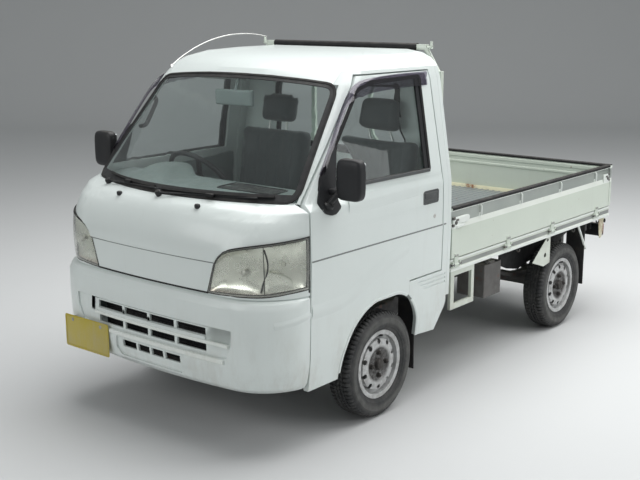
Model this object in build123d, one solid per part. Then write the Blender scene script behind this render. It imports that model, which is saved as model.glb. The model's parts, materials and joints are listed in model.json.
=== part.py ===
from build123d import *
import math
import os

# The truck's frame while it is drawn: X to its left, Y backwards from the bumper's nose, Z up
# from the ground, in millimetres. Each piece is moved forward by half the length when it is
# written, so that the finished truck stands on its middle.

# Overall sizes
length = 3395
half_width = 737.5
wheelbase = 1900
front_axle_y = 853
front_track = 1305
rear_track = 1300
rear_axle_y = front_axle_y + wheelbase

# Clearances
door_gap = 7
gate_gap = 6
inside_gap = 8
dash_gap = 21
pin_gap = 0.2
running_gap = 0.05

# Tyres and rims, as radii and widths about the wheel's own middle
tyre_r = 264
tyre_width = 145
tread_width = 112
tyre_wall = 11
bead_r = 152.5
flange_r = 170
rim_width = 102
rim_sheet = 4
well_r = 132
hub_face_out = 40
vent_circle_r = 116
vent_r = 12.5
vent_count = 10
drum_r = 92
drum_depth = 62
hub_r = 30
hub_nose = 24
spindle_r = 15
wheel_z = tyre_r

# Cab heights
cab_bottom_z = 286
bumper_bottom_z = 305
bumper_top_z = 735
crease_z = 885
cowl_z = 1128
window_sill_z = 1170
window_top_z = 1632
roof_seam_z = 1672
roof_top_z = 1748

# Cab stations along Y and its thickness
door_front_y = 303
door_rear_y = 1343
cab_back_y = 1423
wall = 28
glass = 5

# Cab outline at each height: z, nose_y on the centre line, pillar_x and pillar_y where the
# front arc ends, side_x and side_y where the flat side starts, back_x at the back wall
cab_rows = [
    (cab_bottom_z, 95, 480, 118, 716, door_front_y, 714),
    (440, 60, 490, 90, 731, door_front_y, 730),
    (bumper_top_z, 22, 480, 44, 735, door_front_y, 735),
    (crease_z - 7, 18, 480, 41, 737.5, door_front_y, 737.5),
    (crease_z + 3, 8, 480, 36, 735.5, door_front_y, 735.5),
    (945, 6, 482, 38, 735, door_front_y, 735),
    (1005, 18, 488, 58, 734, door_front_y, 734),
    (1060, 40, 500, 94, 733.5, door_front_y, 733),
    (1100, 70, 540, 160, 732.5, door_front_y, 731),
    (cowl_z, 122, 659, 301, 706, 352, 728),
    (1380, 372, 617, 502, 672, 566, 686),
    (1614, 602, 572, 692, 634, 770, 648),
    (roof_seam_z, 664, 556, 752, 612, 826, 628),
    (1706, 722, 520, 806, 580, 872, 596),
    (1734, 822, 460, 900, 520, 960, 540),
    (roof_top_z, 1000, 360, 1050, 420, 1090, 450),
]

# Bumper outline at each height: z, nose_y, pillar_x, pillar_y, side_x, side_y
bumper_rows = [
    (bumper_bottom_z, 40, 480, 70, 700, 272),
    (330, 16, 500, 40, 716, 276),
    (410, 5, 514, 25, 731, 280),
    (596, 0, 514, 18, 736, 280),
    (690, 3, 514, 20, 736.5, 280),
    (722, 14, 500, 32, 735.5, 280),
    (bumper_top_z, 34, 480, 56, 722, 276),
]
bumper_wall = 22

# Bed and its gates
bed_front_y = 1444
bed_floor_z = 690
bed_sheet = 5
gate_bottom_z = 680
gate_top_z = 946
gate_thick = 28
gate_band_z = (864, 928)
gate_band_depth = 9
gate_slope = 28
hinge_z = 645
hinge_out = 3
hinge_eye_r = 6.5
hinge_pin_r = 3.2
hinge_width = 40
lug_sheet = 7
strap_sheet = 3.5
gate_outer_x = half_width - hinge_out - hinge_eye_r
gate_outer_y = length - hinge_out - hinge_eye_r
gate_inner_x = gate_outer_x - gate_thick
gate_inner_y = gate_outer_y - gate_thick
side_hinge_y = (bed_front_y + 48, bed_front_y + 595, length - 826, length - 219)
tail_hinge_x = (-560, -190, 190, 560)

# Ladder frame
rail_x = 350
rail_width = 60
rail_height = 100
rail_front_z = 300
rail_rear_z = 490

# Steering
kingpin_lean = 12
kingpin_ground_x = front_track / 2 - 15
ball_z = 172
ball_r = 8
strut_tube_r = 24
strut_rod_r = 10
strut_tube_top_z = 545
deck_z = 640
deck_sheet = 6

# Guard frame behind the cab
guard_y = bed_front_y + 14
guard_top_z = 1758
guard_bend_z = guard_top_z - 136
guard_middle_z = 1150
guard_post_x = 619
guard_top_x = 535
guard_inner_x = 202
guard_tube = 28
guard_hook_r = 7


def span(low, high):
    """Middle and size of a stretch."""
    return (low + high) / 2, high - low


def block(x, y, z):
    """A box between two values along each axis."""
    (cx, dx), (cy, dy), (cz, dz) = span(*x), span(*y), span(*z)
    return Pos(cx, cy, cz) * Box(dx, dy, dz)


def around(middle, half):
    """The two values that lie half to each side of a middle."""
    return middle - half, middle + half


def side_plate(points, x_low, x_high):
    """An outline of Y and Z, as thick as from x_low to x_high."""
    outline = Plane.YZ * make_face(Polyline(*points, close=True))
    return Pos(x_low, 0, 0) * extrude(outline, x_high - x_low)


def front_plate(points, y_low, y_high):
    """An outline of X and Z, as thick as from y_low to y_high."""
    outline = Plane.XZ * make_face(Polyline(*points, close=True))
    return Pos(0, y_high, 0) * extrude(outline, y_high - y_low)


def rod(start, end, radius):
    """A round bar between two points."""
    a, b = Vector(start), Vector(end)
    plane = Plane(origin=a, z_dir=b - a)
    return extrude(plane * Circle(radius), (b - a).length)


def tube_along(start, end, radius, bore):
    """A round tube between two points."""
    a, b = Vector(start), Vector(end)
    plane = Plane(origin=a, z_dir=b - a)
    return extrude(plane * (Circle(radius) - Circle(bore)), (b - a).length)


def mirrored(shape):
    """The same shape on the truck's other side."""
    return mirror(shape, about=Plane.YZ)


def plan_outline(row, inset, back_y):
    """Front arc, two corner arcs, sides and back, drawn at the row's height."""
    z, nose_y, pillar_x, pillar_y, side_x, side_y, back_x = row
    pillar = (pillar_x - 0.5 * inset, pillar_y + 0.85 * inset)
    side = (side_x - inset, side_y + 0.3 * inset)
    back = (back_x - inset, back_y)
    front = ThreePointArc((-pillar[0], pillar[1]), (0, nose_y + inset), pillar)
    corner = TangentArc(pillar, side, tangent=front % 1)
    flank = Line(side, back)
    rear = Line(back, (-back[0], back[1]))
    edges = [front, corner, flank, rear, mirrored(flank), mirrored(corner)]
    return Pos(0, 0, z) * make_face(edges)


def cab_body(inset):
    """The whole cab's form, with its faces moved in by inset."""
    faces = []
    for row in cab_rows:
        height = row[0]
        if height == cab_bottom_z:
            height = height - (5 if inset else 0)
        if height > roof_seam_z:
            height = height - inset * (height - roof_seam_z) / (roof_top_z - roof_seam_z)
        faces.append(plan_outline((height,) + row[1:], inset, cab_back_y - inset))
    return loft(faces, ruled=True)


# Shut lines of the door, in Y and Z
arch_front_y = 515
arch_top_z = 611
arch_rear_y = 1143
door_foot_z = 647
door_top_z = 1650
door_foot_y = 1060
door_cowl_z = 1098
door_pillar_y = 772


def arch_outline():
    """The wheel opening in the cab's side."""
    path = [
        Line((arch_front_y, cab_bottom_z - 60), (arch_front_y, cab_bottom_z)),
        ThreePointArc((arch_front_y, cab_bottom_z), (612, 519), (790, arch_top_z)),
        Line((790, arch_top_z), (950, arch_top_z)),
        ThreePointArc((950, arch_top_z), (1085, 548), (arch_rear_y, 420)),
        Line((arch_rear_y, 420), (arch_rear_y, cab_bottom_z - 60)),
        Line((arch_rear_y, cab_bottom_z - 60), (arch_front_y, cab_bottom_z - 60)),
    ]
    return Plane.YZ * make_face(path)


def door_outline(grow):
    """The door's shut line, moved out by grow."""
    points = [
        (door_front_y - grow, cab_bottom_z - 20),
        (door_front_y - grow, door_cowl_z + grow),
        (door_front_y + 17 - grow, cowl_z + grow),
        (door_pillar_y - grow, door_top_z + grow),
        (door_rear_y + grow, door_top_z + grow),
        (door_rear_y + grow, door_foot_z - grow),
        (door_foot_y, door_foot_z - grow),
        (door_foot_y, cab_bottom_z - 20),
    ]
    return Plane.YZ * make_face(Polyline(*points, close=True))


# The rear shut face leans forward towards the inside, so that it clears the pillar as it swings
shut_lean = 9


def rear_shut(grow):
    """Everything in front of the door's leaning rear shut face."""
    lean = math.radians(shut_lean)
    plane = Plane(origin=(half_width, door_rear_y + grow, 0), z_dir=(-math.sin(lean), math.cos(lean), 0))
    return plane * Pos(0, 0, -1000) * Box(3000, 5000, 2000)


cab_outer = cab_body(0)
cab_inner = cab_body(wall)
cab_wall = cab_outer - cab_inner

door_zone = extrude(door_outline(0), 900) & rear_shut(0)
door_hole = extrude(door_outline(door_gap), 900) & rear_shut(door_gap)
arch_zone = Pos(400, 0, 0) * extrude(arch_outline(), 500)

window_rear_y = 1246
window_points = [
    (392, window_sill_z),
    (window_rear_y, window_sill_z),
    (window_rear_y, window_top_z),
    (860, window_top_z - 8),
    (745, window_top_z - 38),
    (420, 1228),
]
door_window = side_plate(window_points, 0, 900)

handle_y = (1168, 1300)
handle_z = (1007, 1073)
handle_depth = 14
handle_pocket = (cab_outer - cab_body(handle_depth)) & block((0, 900), handle_y, handle_z)
flap_zone = block((0, 900), (handle_y[0] + 12, handle_y[1] - 12), (handle_z[0] + 20, handle_z[1] - 6))
handle_flap = (cab_body(4) - cab_body(handle_depth)) & flap_zone
door_left = (cab_wall & door_zone) - arch_zone - door_window - handle_pocket + handle_flap
door_glass_left = (cab_body(10) - cab_body(10 + glass)) & door_window

screen_points = [
    (-655, cowl_z + 4),
    (655, cowl_z + 4),
    (574, 1612),
    (0, 1642),
    (-574, 1612),
]
screen_zone = front_plate(screen_points, -50, 900)
windscreen = (cab_outer - cab_body(glass)) & screen_zone

back_bottom_z = 500
back_window_points = [
    (-440, 1215),
    (440, 1215),
    (415, 1560),
    (-415, 1560),
]
back_window_zone = front_plate(back_window_points, cab_back_y - 60, cab_back_y + 60)
back_glass_y = cab_back_y - 15
back_glass = block((-600, 600), (back_glass_y, back_glass_y + glass), (1100, 1650)) & back_window_zone

roof_zone = block((-800, 800), (-50, 1600), (roof_seam_z, 1900))
roof_zone = roof_zone + block((-546, 546), (-50, 790), (1600, 1900))
cab_roof = (cab_wall & roof_zone) - screen_zone

front_zone = block((-800, 800), (-50, door_front_y - door_gap), (bumper_top_z, cowl_z))
lamp_points = [
    (367, 740), (440, 744), (544, 748), (629, 748), (682, 753), (745, 766),
    (745, 998), (684, 988), (570, 969), (508, 955), (466, 939), (433, 912), (410, 878),
]
lamp_zone = front_plate(lamp_points, -50, door_front_y - door_gap - 2)
lamp_zone = lamp_zone + mirrored(lamp_zone)
front_panel = (cab_wall & front_zone) - lamp_zone
lamp_depth = 70
headlights = (cab_outer - cab_body(lamp_depth)) & lamp_zone

back_zone = block((-800, 800), (cab_back_y - wall, 1600), (back_bottom_z, roof_seam_z))
cab_back = (cab_outer & back_zone) - back_window_zone

rear_foot_points = [
    (1000, 100), (1000, 344), (arch_rear_y, 344), (1306, 332),
    (1386, 448), (1404, 490), (1500, 560), (1500, 100),
]
rear_foot = side_plate(rear_foot_points, 0, 900)
side_zone = block((0, 900), (-50, cab_back_y - wall), (bumper_top_z, roof_seam_z))
low_side_zone = block((0, 900), (1000, cab_back_y - wall), (200, bumper_top_z))
side_left = cab_wall & (side_zone + low_side_zone)
side_left = side_left - door_hole - arch_zone - rear_foot - screen_zone - front_zone - roof_zone
side_left = side_left - block((0, 900), (-50, door_front_y + 10), (200, cowl_z))
for groove_y, groove_z in ((1186, 577), (1158, 598), (1131, 619)):
    groove = block((0, 900), (groove_y, cab_back_y - 40), (groove_z - 4, groove_z + 4))
    side_left = side_left - ((cab_outer - cab_body(4)) & groove)

# Cab floor: toe board, front floor, riser and the seat deck over the wheels
floor_z = 470
toe_top_z = 765
deck_front_y = 500
floor_points = [
    (20, toe_top_z - deck_sheet), (20, toe_top_z), (90, toe_top_z), (140, floor_z + deck_sheet),
    (deck_front_y, floor_z + deck_sheet),
    (deck_front_y, deck_z + deck_sheet), (cab_back_y - wall, deck_z + deck_sheet),
    (cab_back_y - wall, deck_z), (deck_front_y + deck_sheet, deck_z), (deck_front_y + deck_sheet, floor_z),
    (134, floor_z), (84, toe_top_z - deck_sheet),
]
floor_sheet = side_plate(floor_points, -800, 800)
clear_inner = cab_body(wall + inside_gap)
cab_floor = (floor_sheet & clear_inner) + (floor_sheet & cab_inner & front_zone) - lamp_zone
near_door = door_hole - cab_body(wall + dash_gap)

doors = {"left": door_left, "right": mirrored(door_left)}
door_glasses = {"left": door_glass_left, "right": mirrored(door_glass_left)}
sides = {"left": side_left, "right": mirrored(side_left)}


def bumper_body(inset):
    """The bumper's form, with its faces moved in by inset."""
    faces = []
    for row in bumper_rows:
        faces.append(plan_outline(row + (row[4],), inset, door_front_y - door_gap))
    return loft(faces, ruled=True)


slot_rows = [
    # bottom_z, top_z, half_reach, pitch, bar
    (548, 583, 364, 177, 18),
    (475, 509, 364, 177, 18),
    (383, 417, 196, 92, 14),
]
recess_depth = 10
upper_recess_points = [
    (-521, 538), (-486, 466), (-381, 453), (381, 453),
    (486, 466), (521, 538), (520, 597), (-520, 597),
]
lower_recess_points = [(-240, 372), (-206, 338), (206, 338), (240, 372), (232, 430), (-232, 430)]
bumper_skin = bumper_body(0) - bumper_body(recess_depth)
bumper = bumper_body(0) - bumper_body(bumper_wall)
for points in (upper_recess_points, lower_recess_points):
    bumper = bumper - (bumper_skin & front_plate(points, -50, 200))
shelf_points = [(-364, 512), (364, 512), (364, 546), (-364, 546)]
shelf = (bumper_body(2) - bumper_body(bumper_wall)) & front_plate(shelf_points, -50, 200)
bumper = bumper + shelf
for bottom_z, top_z, half_reach, pitch, bar in slot_rows:
    slots = block((-half_reach, half_reach), (-50, 90), (bottom_z, top_z))
    for bar_x in (-pitch, 0, pitch):
        slots = slots - block((bar_x - bar / 2, bar_x + bar / 2), (-50, 90), (bottom_z, top_z))
    bumper = bumper - slots

# Wheels, drawn about their own middle with the outside towards +X
tyre_belly_r = 212
tyre_shoulder_r = 245
tyre_profile = [
    (bead_r, rim_width / 2 - 4), (flange_r, rim_width / 2), (flange_r + 5, rim_width / 2 + 6),
    (tyre_belly_r, tyre_width / 2), (tyre_shoulder_r, tyre_width / 2 - 8),
    (tyre_r - 4, tread_width / 2), (tyre_r, tread_width / 2 - 8),
]
inner_profile = [
    (bead_r, rim_width / 2 - 6 - tyre_wall), (flange_r + 6, rim_width / 2 - tyre_wall),
    (tyre_belly_r, tyre_width / 2 - tyre_wall), (tyre_r - tyre_wall - 10, tread_width / 2 - 8),
]


def turned(profile):
    """A ring turned about X from a profile of radius and place along the axle."""
    face = Plane.XY * make_face(Polyline(*[(place, radius) for radius, place in profile], close=True))
    return revolve(face, Axis.X, 360)


def tyre():
    """An open carcass that the rim closes."""
    outer = tyre_profile + [(radius, -place) for radius, place in reversed(tyre_profile)]
    inner = inner_profile + [(radius, -place) for radius, place in reversed(inner_profile)]
    return turned(outer) - turned(inner)


def rim():
    """Pressed rim with its vented disc, on the brake drum and hub."""
    edge = rim_width / 2
    barrel = turned([
        (flange_r, edge + 4), (flange_r, edge), (bead_r, edge - 4), (bead_r, edge - 22),
        (well_r, edge - 32), (well_r, -edge + 36), (bead_r, -edge + 26), (bead_r, -edge + 4),
        (flange_r, -edge), (flange_r, -edge - 4),
        (bead_r - rim_sheet, -edge - 2), (bead_r - rim_sheet, -edge + 24), (well_r - rim_sheet, -edge + 34),
        (well_r - rim_sheet, edge - 34), (bead_r - rim_sheet, edge - 24), (bead_r - rim_sheet, edge + 2),
    ])
    disc = turned([
        (hub_r - 4, hub_face_out), (76, hub_face_out), (84, hub_face_out + 7), (104, hub_face_out + 9),
        (vent_circle_r + 10, hub_face_out + 2), (well_r - rim_sheet, edge - 44),
        (well_r - rim_sheet, edge - 38), (vent_circle_r + 10, hub_face_out + 7), (104, hub_face_out + 13),
        (84, hub_face_out + 11), (76, hub_face_out + 4), (hub_r - 4, hub_face_out + 4),
    ])
    for index in range(vent_count):
        angle = math.radians(360 * index / vent_count)
        y, z = vent_circle_r * math.sin(angle), vent_circle_r * math.cos(angle)
        disc = disc - rod((0, y, z), (rim_width, y, z), vent_r)
    bore_r = spindle_r + running_gap
    nose = hub_face_out + hub_nose
    drum = turned([
        (hub_r - 4, hub_face_out), (drum_r, hub_face_out), (drum_r, hub_face_out - drum_depth),
        (drum_r - 8, hub_face_out - drum_depth), (drum_r - 8, hub_face_out - 8), (hub_r, hub_face_out - 8),
        (hub_r, hub_face_out - drum_depth + 6), (bore_r, hub_face_out - drum_depth + 6),
        (bore_r, hub_face_out + 2), (0, hub_face_out + 2),
        (0, nose), (hub_r - 8, nose), (hub_r - 4, nose - 6),
    ])
    return barrel + disc + drum


wheel_tyre = tyre()
wheel_rim = rim()
wheels = [
    # name, side, half track, y
    ("front_left", 1, front_track / 2, front_axle_y),
    ("front_right", -1, front_track / 2, front_axle_y),
    ("rear_left", 1, rear_track / 2, rear_axle_y),
    ("rear_right", -1, rear_track / 2, rear_axle_y),
]


def kingpin(z):
    """The left kingpin's point at a height."""
    return (kingpin_ground_x - z * math.tan(math.radians(kingpin_lean)), front_axle_y, z)


def knuckle():
    """The left steering knuckle with its spindle, strut tube and steering arm."""
    hub_x = front_track / 2 + hub_face_out
    face_x = hub_x - drum_depth - 6
    spindle = rod((face_x - 4, front_axle_y, wheel_z), (hub_x, front_axle_y, wheel_z), spindle_r)
    plate = rod((face_x - 6, front_axle_y, wheel_z), (face_x, front_axle_y, wheel_z), drum_r - 4)
    low = kingpin(ball_z + 18)
    high = kingpin(wheel_z + 60)
    upright = block((low[0] - 26, face_x - 5), around(front_axle_y, 24), (low[2], wheel_z + 70))
    upright = upright + block((high[0] - 24, face_x - 5), around(front_axle_y, 22), around(wheel_z + 75, 35))
    pin = rod(kingpin(ball_z - 14), kingpin(ball_z + 24), ball_r)
    arm = block((low[0] - 22, low[0] + 2), (front_axle_y, front_axle_y + 120), (low[2] + 4, low[2] + 20))
    tube = rod(kingpin(wheel_z + 60), kingpin(strut_tube_top_z), strut_tube_r)
    bore = rod(kingpin(wheel_z + 130), kingpin(strut_tube_top_z + 20), strut_rod_r + pin_gap)
    return spindle + plate + upright + pin + arm + tube - bore


knuckle_left = knuckle()

# Front suspension: strut rods under the seat deck, lower arms and their cross beam
strut_rod = rod(kingpin(wheel_z + 150), kingpin(deck_z - 4), strut_rod_r)
strut_mount = block(around(kingpin(deck_z)[0], 50), around(front_axle_y, 50), (deck_z - 12, deck_z))
strut_top = strut_rod + strut_mount
arm_end = kingpin(ball_z)
lower_arm = tube_along(kingpin(ball_z - 8), kingpin(ball_z + 8), 2 * ball_r, ball_r + pin_gap)
arm_bar = block((rail_x - 60, arm_end[0] - 12), around(front_axle_y, 20), around(ball_z, 8))
eye_bore = rod(kingpin(ball_z - 20), kingpin(ball_z + 20), ball_r + pin_gap)
cross_beam = block(around(0, rail_x - 50), around(front_axle_y, 60), (ball_z - 20, ball_z + 60))
beam_post = block((rail_x - 60, rail_x - 20), around(front_axle_y, 50), (ball_z + 20, rail_front_z))
half_suspension = lower_arm + (arm_bar - eye_bore) + beam_post
beam_and_arms = cross_beam + half_suspension + mirrored(half_suspension)
front_suspension = [beam_and_arms, strut_top, mirrored(strut_top)]

# Ladder frame: two rails that rise behind the cab, with cross members
rail_front_y = 92
spare_y = length - 320
spare_z = 434
rail_rise_y = (1440, 1700)
rail_end_y = length - 70
rail_points = [
    (rail_front_y, rail_front_z), (rail_rise_y[0], rail_front_z), (rail_rise_y[1], rail_rear_z),
    (rail_end_y, rail_rear_z), (rail_end_y, rail_rear_z + rail_height),
    (rail_rise_y[1] - 20, rail_rear_z + rail_height), (rail_rise_y[0] - 20, rail_front_z + rail_height),
    (rail_front_y, rail_front_z + rail_height),
]
rail = side_plate(rail_points, rail_x - rail_width / 2, rail_x + rail_width / 2)
frame = rail + mirrored(rail)
cross_members = [
    # y, bottom_z, height, depth
    (100, rail_front_z + 10, 70, 50),
    (620, rail_front_z + 40, 50, 50),
    (1750, rail_rear_z + 20, 60, 50),
    (2350, rail_rear_z + 20, 60, 50),
    (rail_end_y - 40, rail_rear_z + 20, 60, 50),
    (spare_y - 20, rail_rear_z + 20, 20, 40),
]
for y, bottom_z, height, depth in cross_members:
    frame = frame + block((-rail_x, rail_x), (y, y + depth), (bottom_z, bottom_z + height))
cab_mounts = [
    # y, top_z
    (300, floor_z),
    (1200, deck_z),
]
for y, top_z in cab_mounts:
    mount = block((rail_x - 20, rail_x + 20), (y, y + 40), (rail_front_z + rail_height, top_z))
    frame = frame + mount + mirrored(mount)

# Bed floor with its cross beams, side sills, rear sill and hinge pins
sill_outer_x = gate_outer_x - 6
sill_outer_y = gate_outer_y - 6
sill_top_z = gate_bottom_z - gate_gap
floor_edge_x = gate_inner_x - gate_gap
floor_edge_y = gate_inner_y - gate_gap
sill_depth = 66
deck_front_edge_y = guard_y + 16
floor_y = (deck_front_edge_y, floor_edge_y)
bed_floor = block(around(0, floor_edge_x), floor_y, (bed_floor_z - bed_sheet, bed_floor_z))
sill_sheet = 34
sill_inner_x = sill_outer_x - sill_sheet
sill_inner_y = sill_outer_y - sill_sheet
sill_bottom_z = sill_top_z - sill_depth
sill_z = (sill_bottom_z, sill_top_z)
lap_z = (sill_top_z - 5, bed_floor_z - bed_sheet)
side_sill = block((sill_inner_x, sill_outer_x), (bed_front_y, sill_outer_y), sill_z)
side_sill = side_sill + block((sill_inner_x, floor_edge_x), (bed_front_y, floor_edge_y), lap_z)
rear_sill = block(around(0, sill_outer_x), (sill_inner_y, sill_outer_y), sill_z)
rear_sill = rear_sill + block(around(0, floor_edge_x), (sill_inner_y, floor_edge_y), lap_z)
bed_floor = bed_floor + side_sill + mirrored(side_sill) + rear_sill
beam_top_z = bed_floor_z - bed_sheet
beam_bottom_z = rail_rear_z + rail_height
beam_count = 6
beam_width = 45
beam_depth = 60
beam_pitch = (sill_outer_y - bed_front_y - 80) / (beam_count - 1)
bed_beams = []
for index in range(beam_count):
    y = bed_front_y + index * beam_pitch
    beam = block(around(0, sill_inner_x), (y, y + beam_width), (beam_top_z - beam_depth, beam_top_z))
    beam = beam - bed_floor
    if y > rail_rise_y[0] + 100:
        seat = block(around(rail_x, 25), (y, y + beam_width), (beam_bottom_z, beam_top_z - beam_depth))
        beam = beam + seat + mirrored(seat)
    bed_beams.append(beam)


def hinge_lugs(axis_x):
    """Pin and lugs of one gate hinge on the left sill, about Y = 0."""
    pin_end = hinge_width / 2 + lug_sheet + 1
    pin = rod((axis_x, -pin_end, hinge_z), (axis_x, pin_end, hinge_z), hinge_pin_r)
    for low in (-pin_end, pin_end - lug_sheet):
        lug = block((axis_x - 9.5, axis_x + 5), (low, low + lug_sheet), around(hinge_z, 8))
        pin = pin + lug
    return pin


def hinge_eye(axis_x, gate_x):
    """Eye and strap of one gate hinge, about Y = 0."""
    eye = rod((axis_x, -hinge_width / 2, hinge_z), (axis_x, hinge_width / 2, hinge_z), hinge_eye_r)
    strap = block((gate_x - strap_sheet, gate_x), around(0, hinge_width / 2), (hinge_z, gate_bottom_z + 1))
    bore = rod((axis_x, -hinge_width, hinge_z), (axis_x, hinge_width, hinge_z), hinge_pin_r + pin_gap)
    return eye + strap - bore


side_axis_x = gate_outer_x + hinge_out
tail_axis_y = gate_outer_y + hinge_out
side_lugs = hinge_lugs(side_axis_x)
side_eye = hinge_eye(side_axis_x, gate_outer_x)
for y in side_hinge_y:
    lugs = Pos(0, y, 0) * side_lugs
    bed_floor = bed_floor + lugs + mirrored(lugs)
to_tail = Rot(0, 0, 90)
tail_lugs = to_tail * hinge_lugs(tail_axis_y)
tail_eye = to_tail * hinge_eye(tail_axis_y, gate_outer_y)
for x in tail_hinge_x:
    bed_floor = bed_floor + Pos(x, 0, 0) * tail_lugs

# Sheet brackets under both sills: an open frame behind the cab and a stay by the rear wheel
bracket_x = (sill_outer_x - 24, sill_outer_x - 6)
bracket_y = (bed_front_y + 22, bed_front_y + 256)
bracket_foot_z = 396
bracket_strip = 30
open_bracket = block(bracket_x, bracket_y, (bracket_foot_z, sill_bottom_z))
open_bracket = open_bracket - block((0, 900), (bracket_y[0] + 34, bracket_y[1] - 28),
                                    (bracket_foot_z + bracket_strip, sill_bottom_z - bracket_strip))
stay_points = [
    (rear_axle_y - 213, sill_bottom_z), (rear_axle_y - 390, 479), (rear_axle_y - 249, 433),
    (rear_axle_y - 173, 444), (rear_axle_y - 173, sill_bottom_z),
]
stay_hole_y, stay_hole_z, stay_hole_r = rear_axle_y - 233, 500, 14
stay = side_plate(stay_points, bracket_x[1] - 4, bracket_x[1])
stay = stay - rod((0, stay_hole_y, stay_hole_z), (900, stay_hole_y, stay_hole_z), stay_hole_r)
for bracket in (open_bracket, stay):
    bed_floor = bed_floor + bracket + mirrored(bracket)


def gate_section(outer):
    """Outline of a gate across its length, as distance out and height."""
    band_low, band_high = gate_band_z
    return [
        (outer - gate_thick, gate_bottom_z), (outer, gate_bottom_z), (outer, band_low - gate_slope),
        (outer - gate_band_depth, band_low), (outer - gate_band_depth, band_high), (outer, band_high + 3),
        (outer, gate_top_z), (outer - gate_thick, gate_top_z),
    ]


gate_left = front_plate(gate_section(gate_outer_x), bed_front_y + 3, gate_inner_y - gate_gap)
for y in side_hinge_y:
    gate_left = gate_left + Pos(0, y, 0) * side_eye
tailgate = side_plate(gate_section(gate_outer_y), -gate_outer_x, gate_outer_x)
for x in tail_hinge_x:
    tailgate = tailgate + Pos(x, 0, 0) * tail_eye
gates = {"left": gate_left, "right": mirrored(gate_left)}

# Guard frame: front board, posts with sloped shoulders, bars
guard_foot_z = bed_floor_z - bed_sheet
bar_x = guard_top_x + 10
hook_x = guard_top_x + 33
post = block(around(guard_post_x, 18), (guard_y - 12, guard_y + 14), (guard_foot_z, guard_bend_z + 18))
shoulder = rod((guard_post_x, guard_y, guard_bend_z), (guard_top_x, guard_y, guard_top_z - 6), guard_tube / 2)
top_bar = block(around(0, bar_x), around(guard_y, 12), around(guard_top_z, guard_tube / 2))
hook = rod((bar_x, guard_y, guard_top_z - 2), (hook_x + 7, guard_y, guard_top_z - 2), guard_hook_r)
hook = hook + rod((hook_x, guard_y, guard_top_z - 4), (hook_x, guard_y, guard_top_z + 30), guard_hook_r)
middle_bar = block(around(0, guard_post_x), around(guard_y, 10), around(guard_middle_z, guard_tube / 2))
inner_post = block(around(guard_inner_x, 12), around(guard_y, 9), (gate_top_z - 10, guard_top_z))
board = block(around(0, floor_edge_x), (guard_y - 14, guard_y - 2), (guard_foot_z, gate_top_z))
guard_frame = board + middle_bar + top_bar
for piece in (post, shoulder, inner_post, hook):
    guard_frame = guard_frame + piece + mirrored(piece)

# Rear axle with its drum plates, differential and propeller shaft
axle_tube_r = 34
axle_hub_x = rear_track / 2 + hub_face_out
axle_face_x = axle_hub_x - drum_depth - 6
shaft_x = 60
shaft_front_z = 330
shaft_r = 28
engine_rear_y = 1290


def axle_rod(from_x, to_x, radius):
    """A round bar on the rear axle's own line."""
    return rod((from_x, rear_axle_y, wheel_z), (to_x, rear_axle_y, wheel_z), radius)


rear_axle = axle_rod(-axle_face_x, axle_face_x, axle_tube_r)
for side in (-1, 1):
    rear_axle = rear_axle + axle_rod(side * (axle_face_x - 6), side * axle_face_x, drum_r - 4)
    rear_axle = rear_axle + axle_rod(side * axle_face_x, side * axle_hub_x, spindle_r)
differential = turned([(0, -78), (52, -74), (84, -40), (84, 40), (52, 74), (0, 78)])
rear_axle = rear_axle + Pos(shaft_x, rear_axle_y, wheel_z) * differential
shaft_front = (shaft_x, engine_rear_y + 1.2, shaft_front_z)
rear_axle = rear_axle + rod(shaft_front, (shaft_x, rear_axle_y - 80, wheel_z + 6), shaft_r)

# Leaf springs with their shackles
spring_half = 480
spring_x = (425, 475)
damper_x = 405
damper_r = 15
rail_side_x = rail_x + rail_width / 2
mount_z = (rail_rear_z + 10, rail_rear_z + 40)
leaf_rows = [
    # distance from the axle, low_z, high_z
    (-spring_half, 420, 430),
    (-200, 320, 342),
    (-60, 299, 330),
    (60, 299, 330),
    (200, 320, 342),
    (spring_half, 420, 430),
]
leaf_low = [(rear_axle_y + away, low_z) for away, low_z, high_z in leaf_rows]
leaf_high = [(rear_axle_y + away, high_z) for away, low_z, high_z in reversed(leaf_rows)]
spring = side_plate(leaf_low + leaf_high, *spring_x)
for y in around(rear_axle_y, spring_half):
    spring = spring + block(spring_x, around(y, 18), (415, rail_rear_z + 20))
    spring = spring + block((rail_side_x, spring_x[1]), around(y, 18), mount_z)
spring_seat = block((spring_x[0] - 5, spring_x[1] + 5), around(rear_axle_y, 45), (wheel_z + axle_tube_r, 300))
spring = spring + spring_seat
damper_top = (damper_x, rear_axle_y + 150, rail_rear_z + 20)
damper = rod((damper_x, rear_axle_y + 90, 330), damper_top, damper_r)
damper = damper + block((rail_side_x, damper_x + 15), around(damper_top[1], 20), mount_z)
damper = damper + block((damper_x - 10, damper_x + 25), around(rear_axle_y + 85, 25), (318, 336))
spring = spring + damper
rear_springs = [spring, mirrored(spring)]

# Heavy mass under the seats, fuel tank, battery box and silencer
rail_inner_x = rail_x - rail_width / 2
engine_half_width = 190
engine_z = (240, 610)
engine_mount_y = 1030
engine_mount_z = 350
engine = block(around(0, engine_half_width), (front_axle_y + 80, engine_rear_y), engine_z)
engine = engine + block(around(0, rail_inner_x), around(engine_mount_y, 30), around(engine_mount_z, 30))

tank_x = (-660, -395)
tank_y = (1720, 2230)
tank_z = (330, 560)
fuel_tank = fillet(block(tank_x, tank_y, tank_z).edges(), 25)
fuel_tank = fuel_tank + block((-500, -rail_side_x), (1850, 1900), (tank_z[1] - 40, tank_z[1] + 10))

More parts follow.
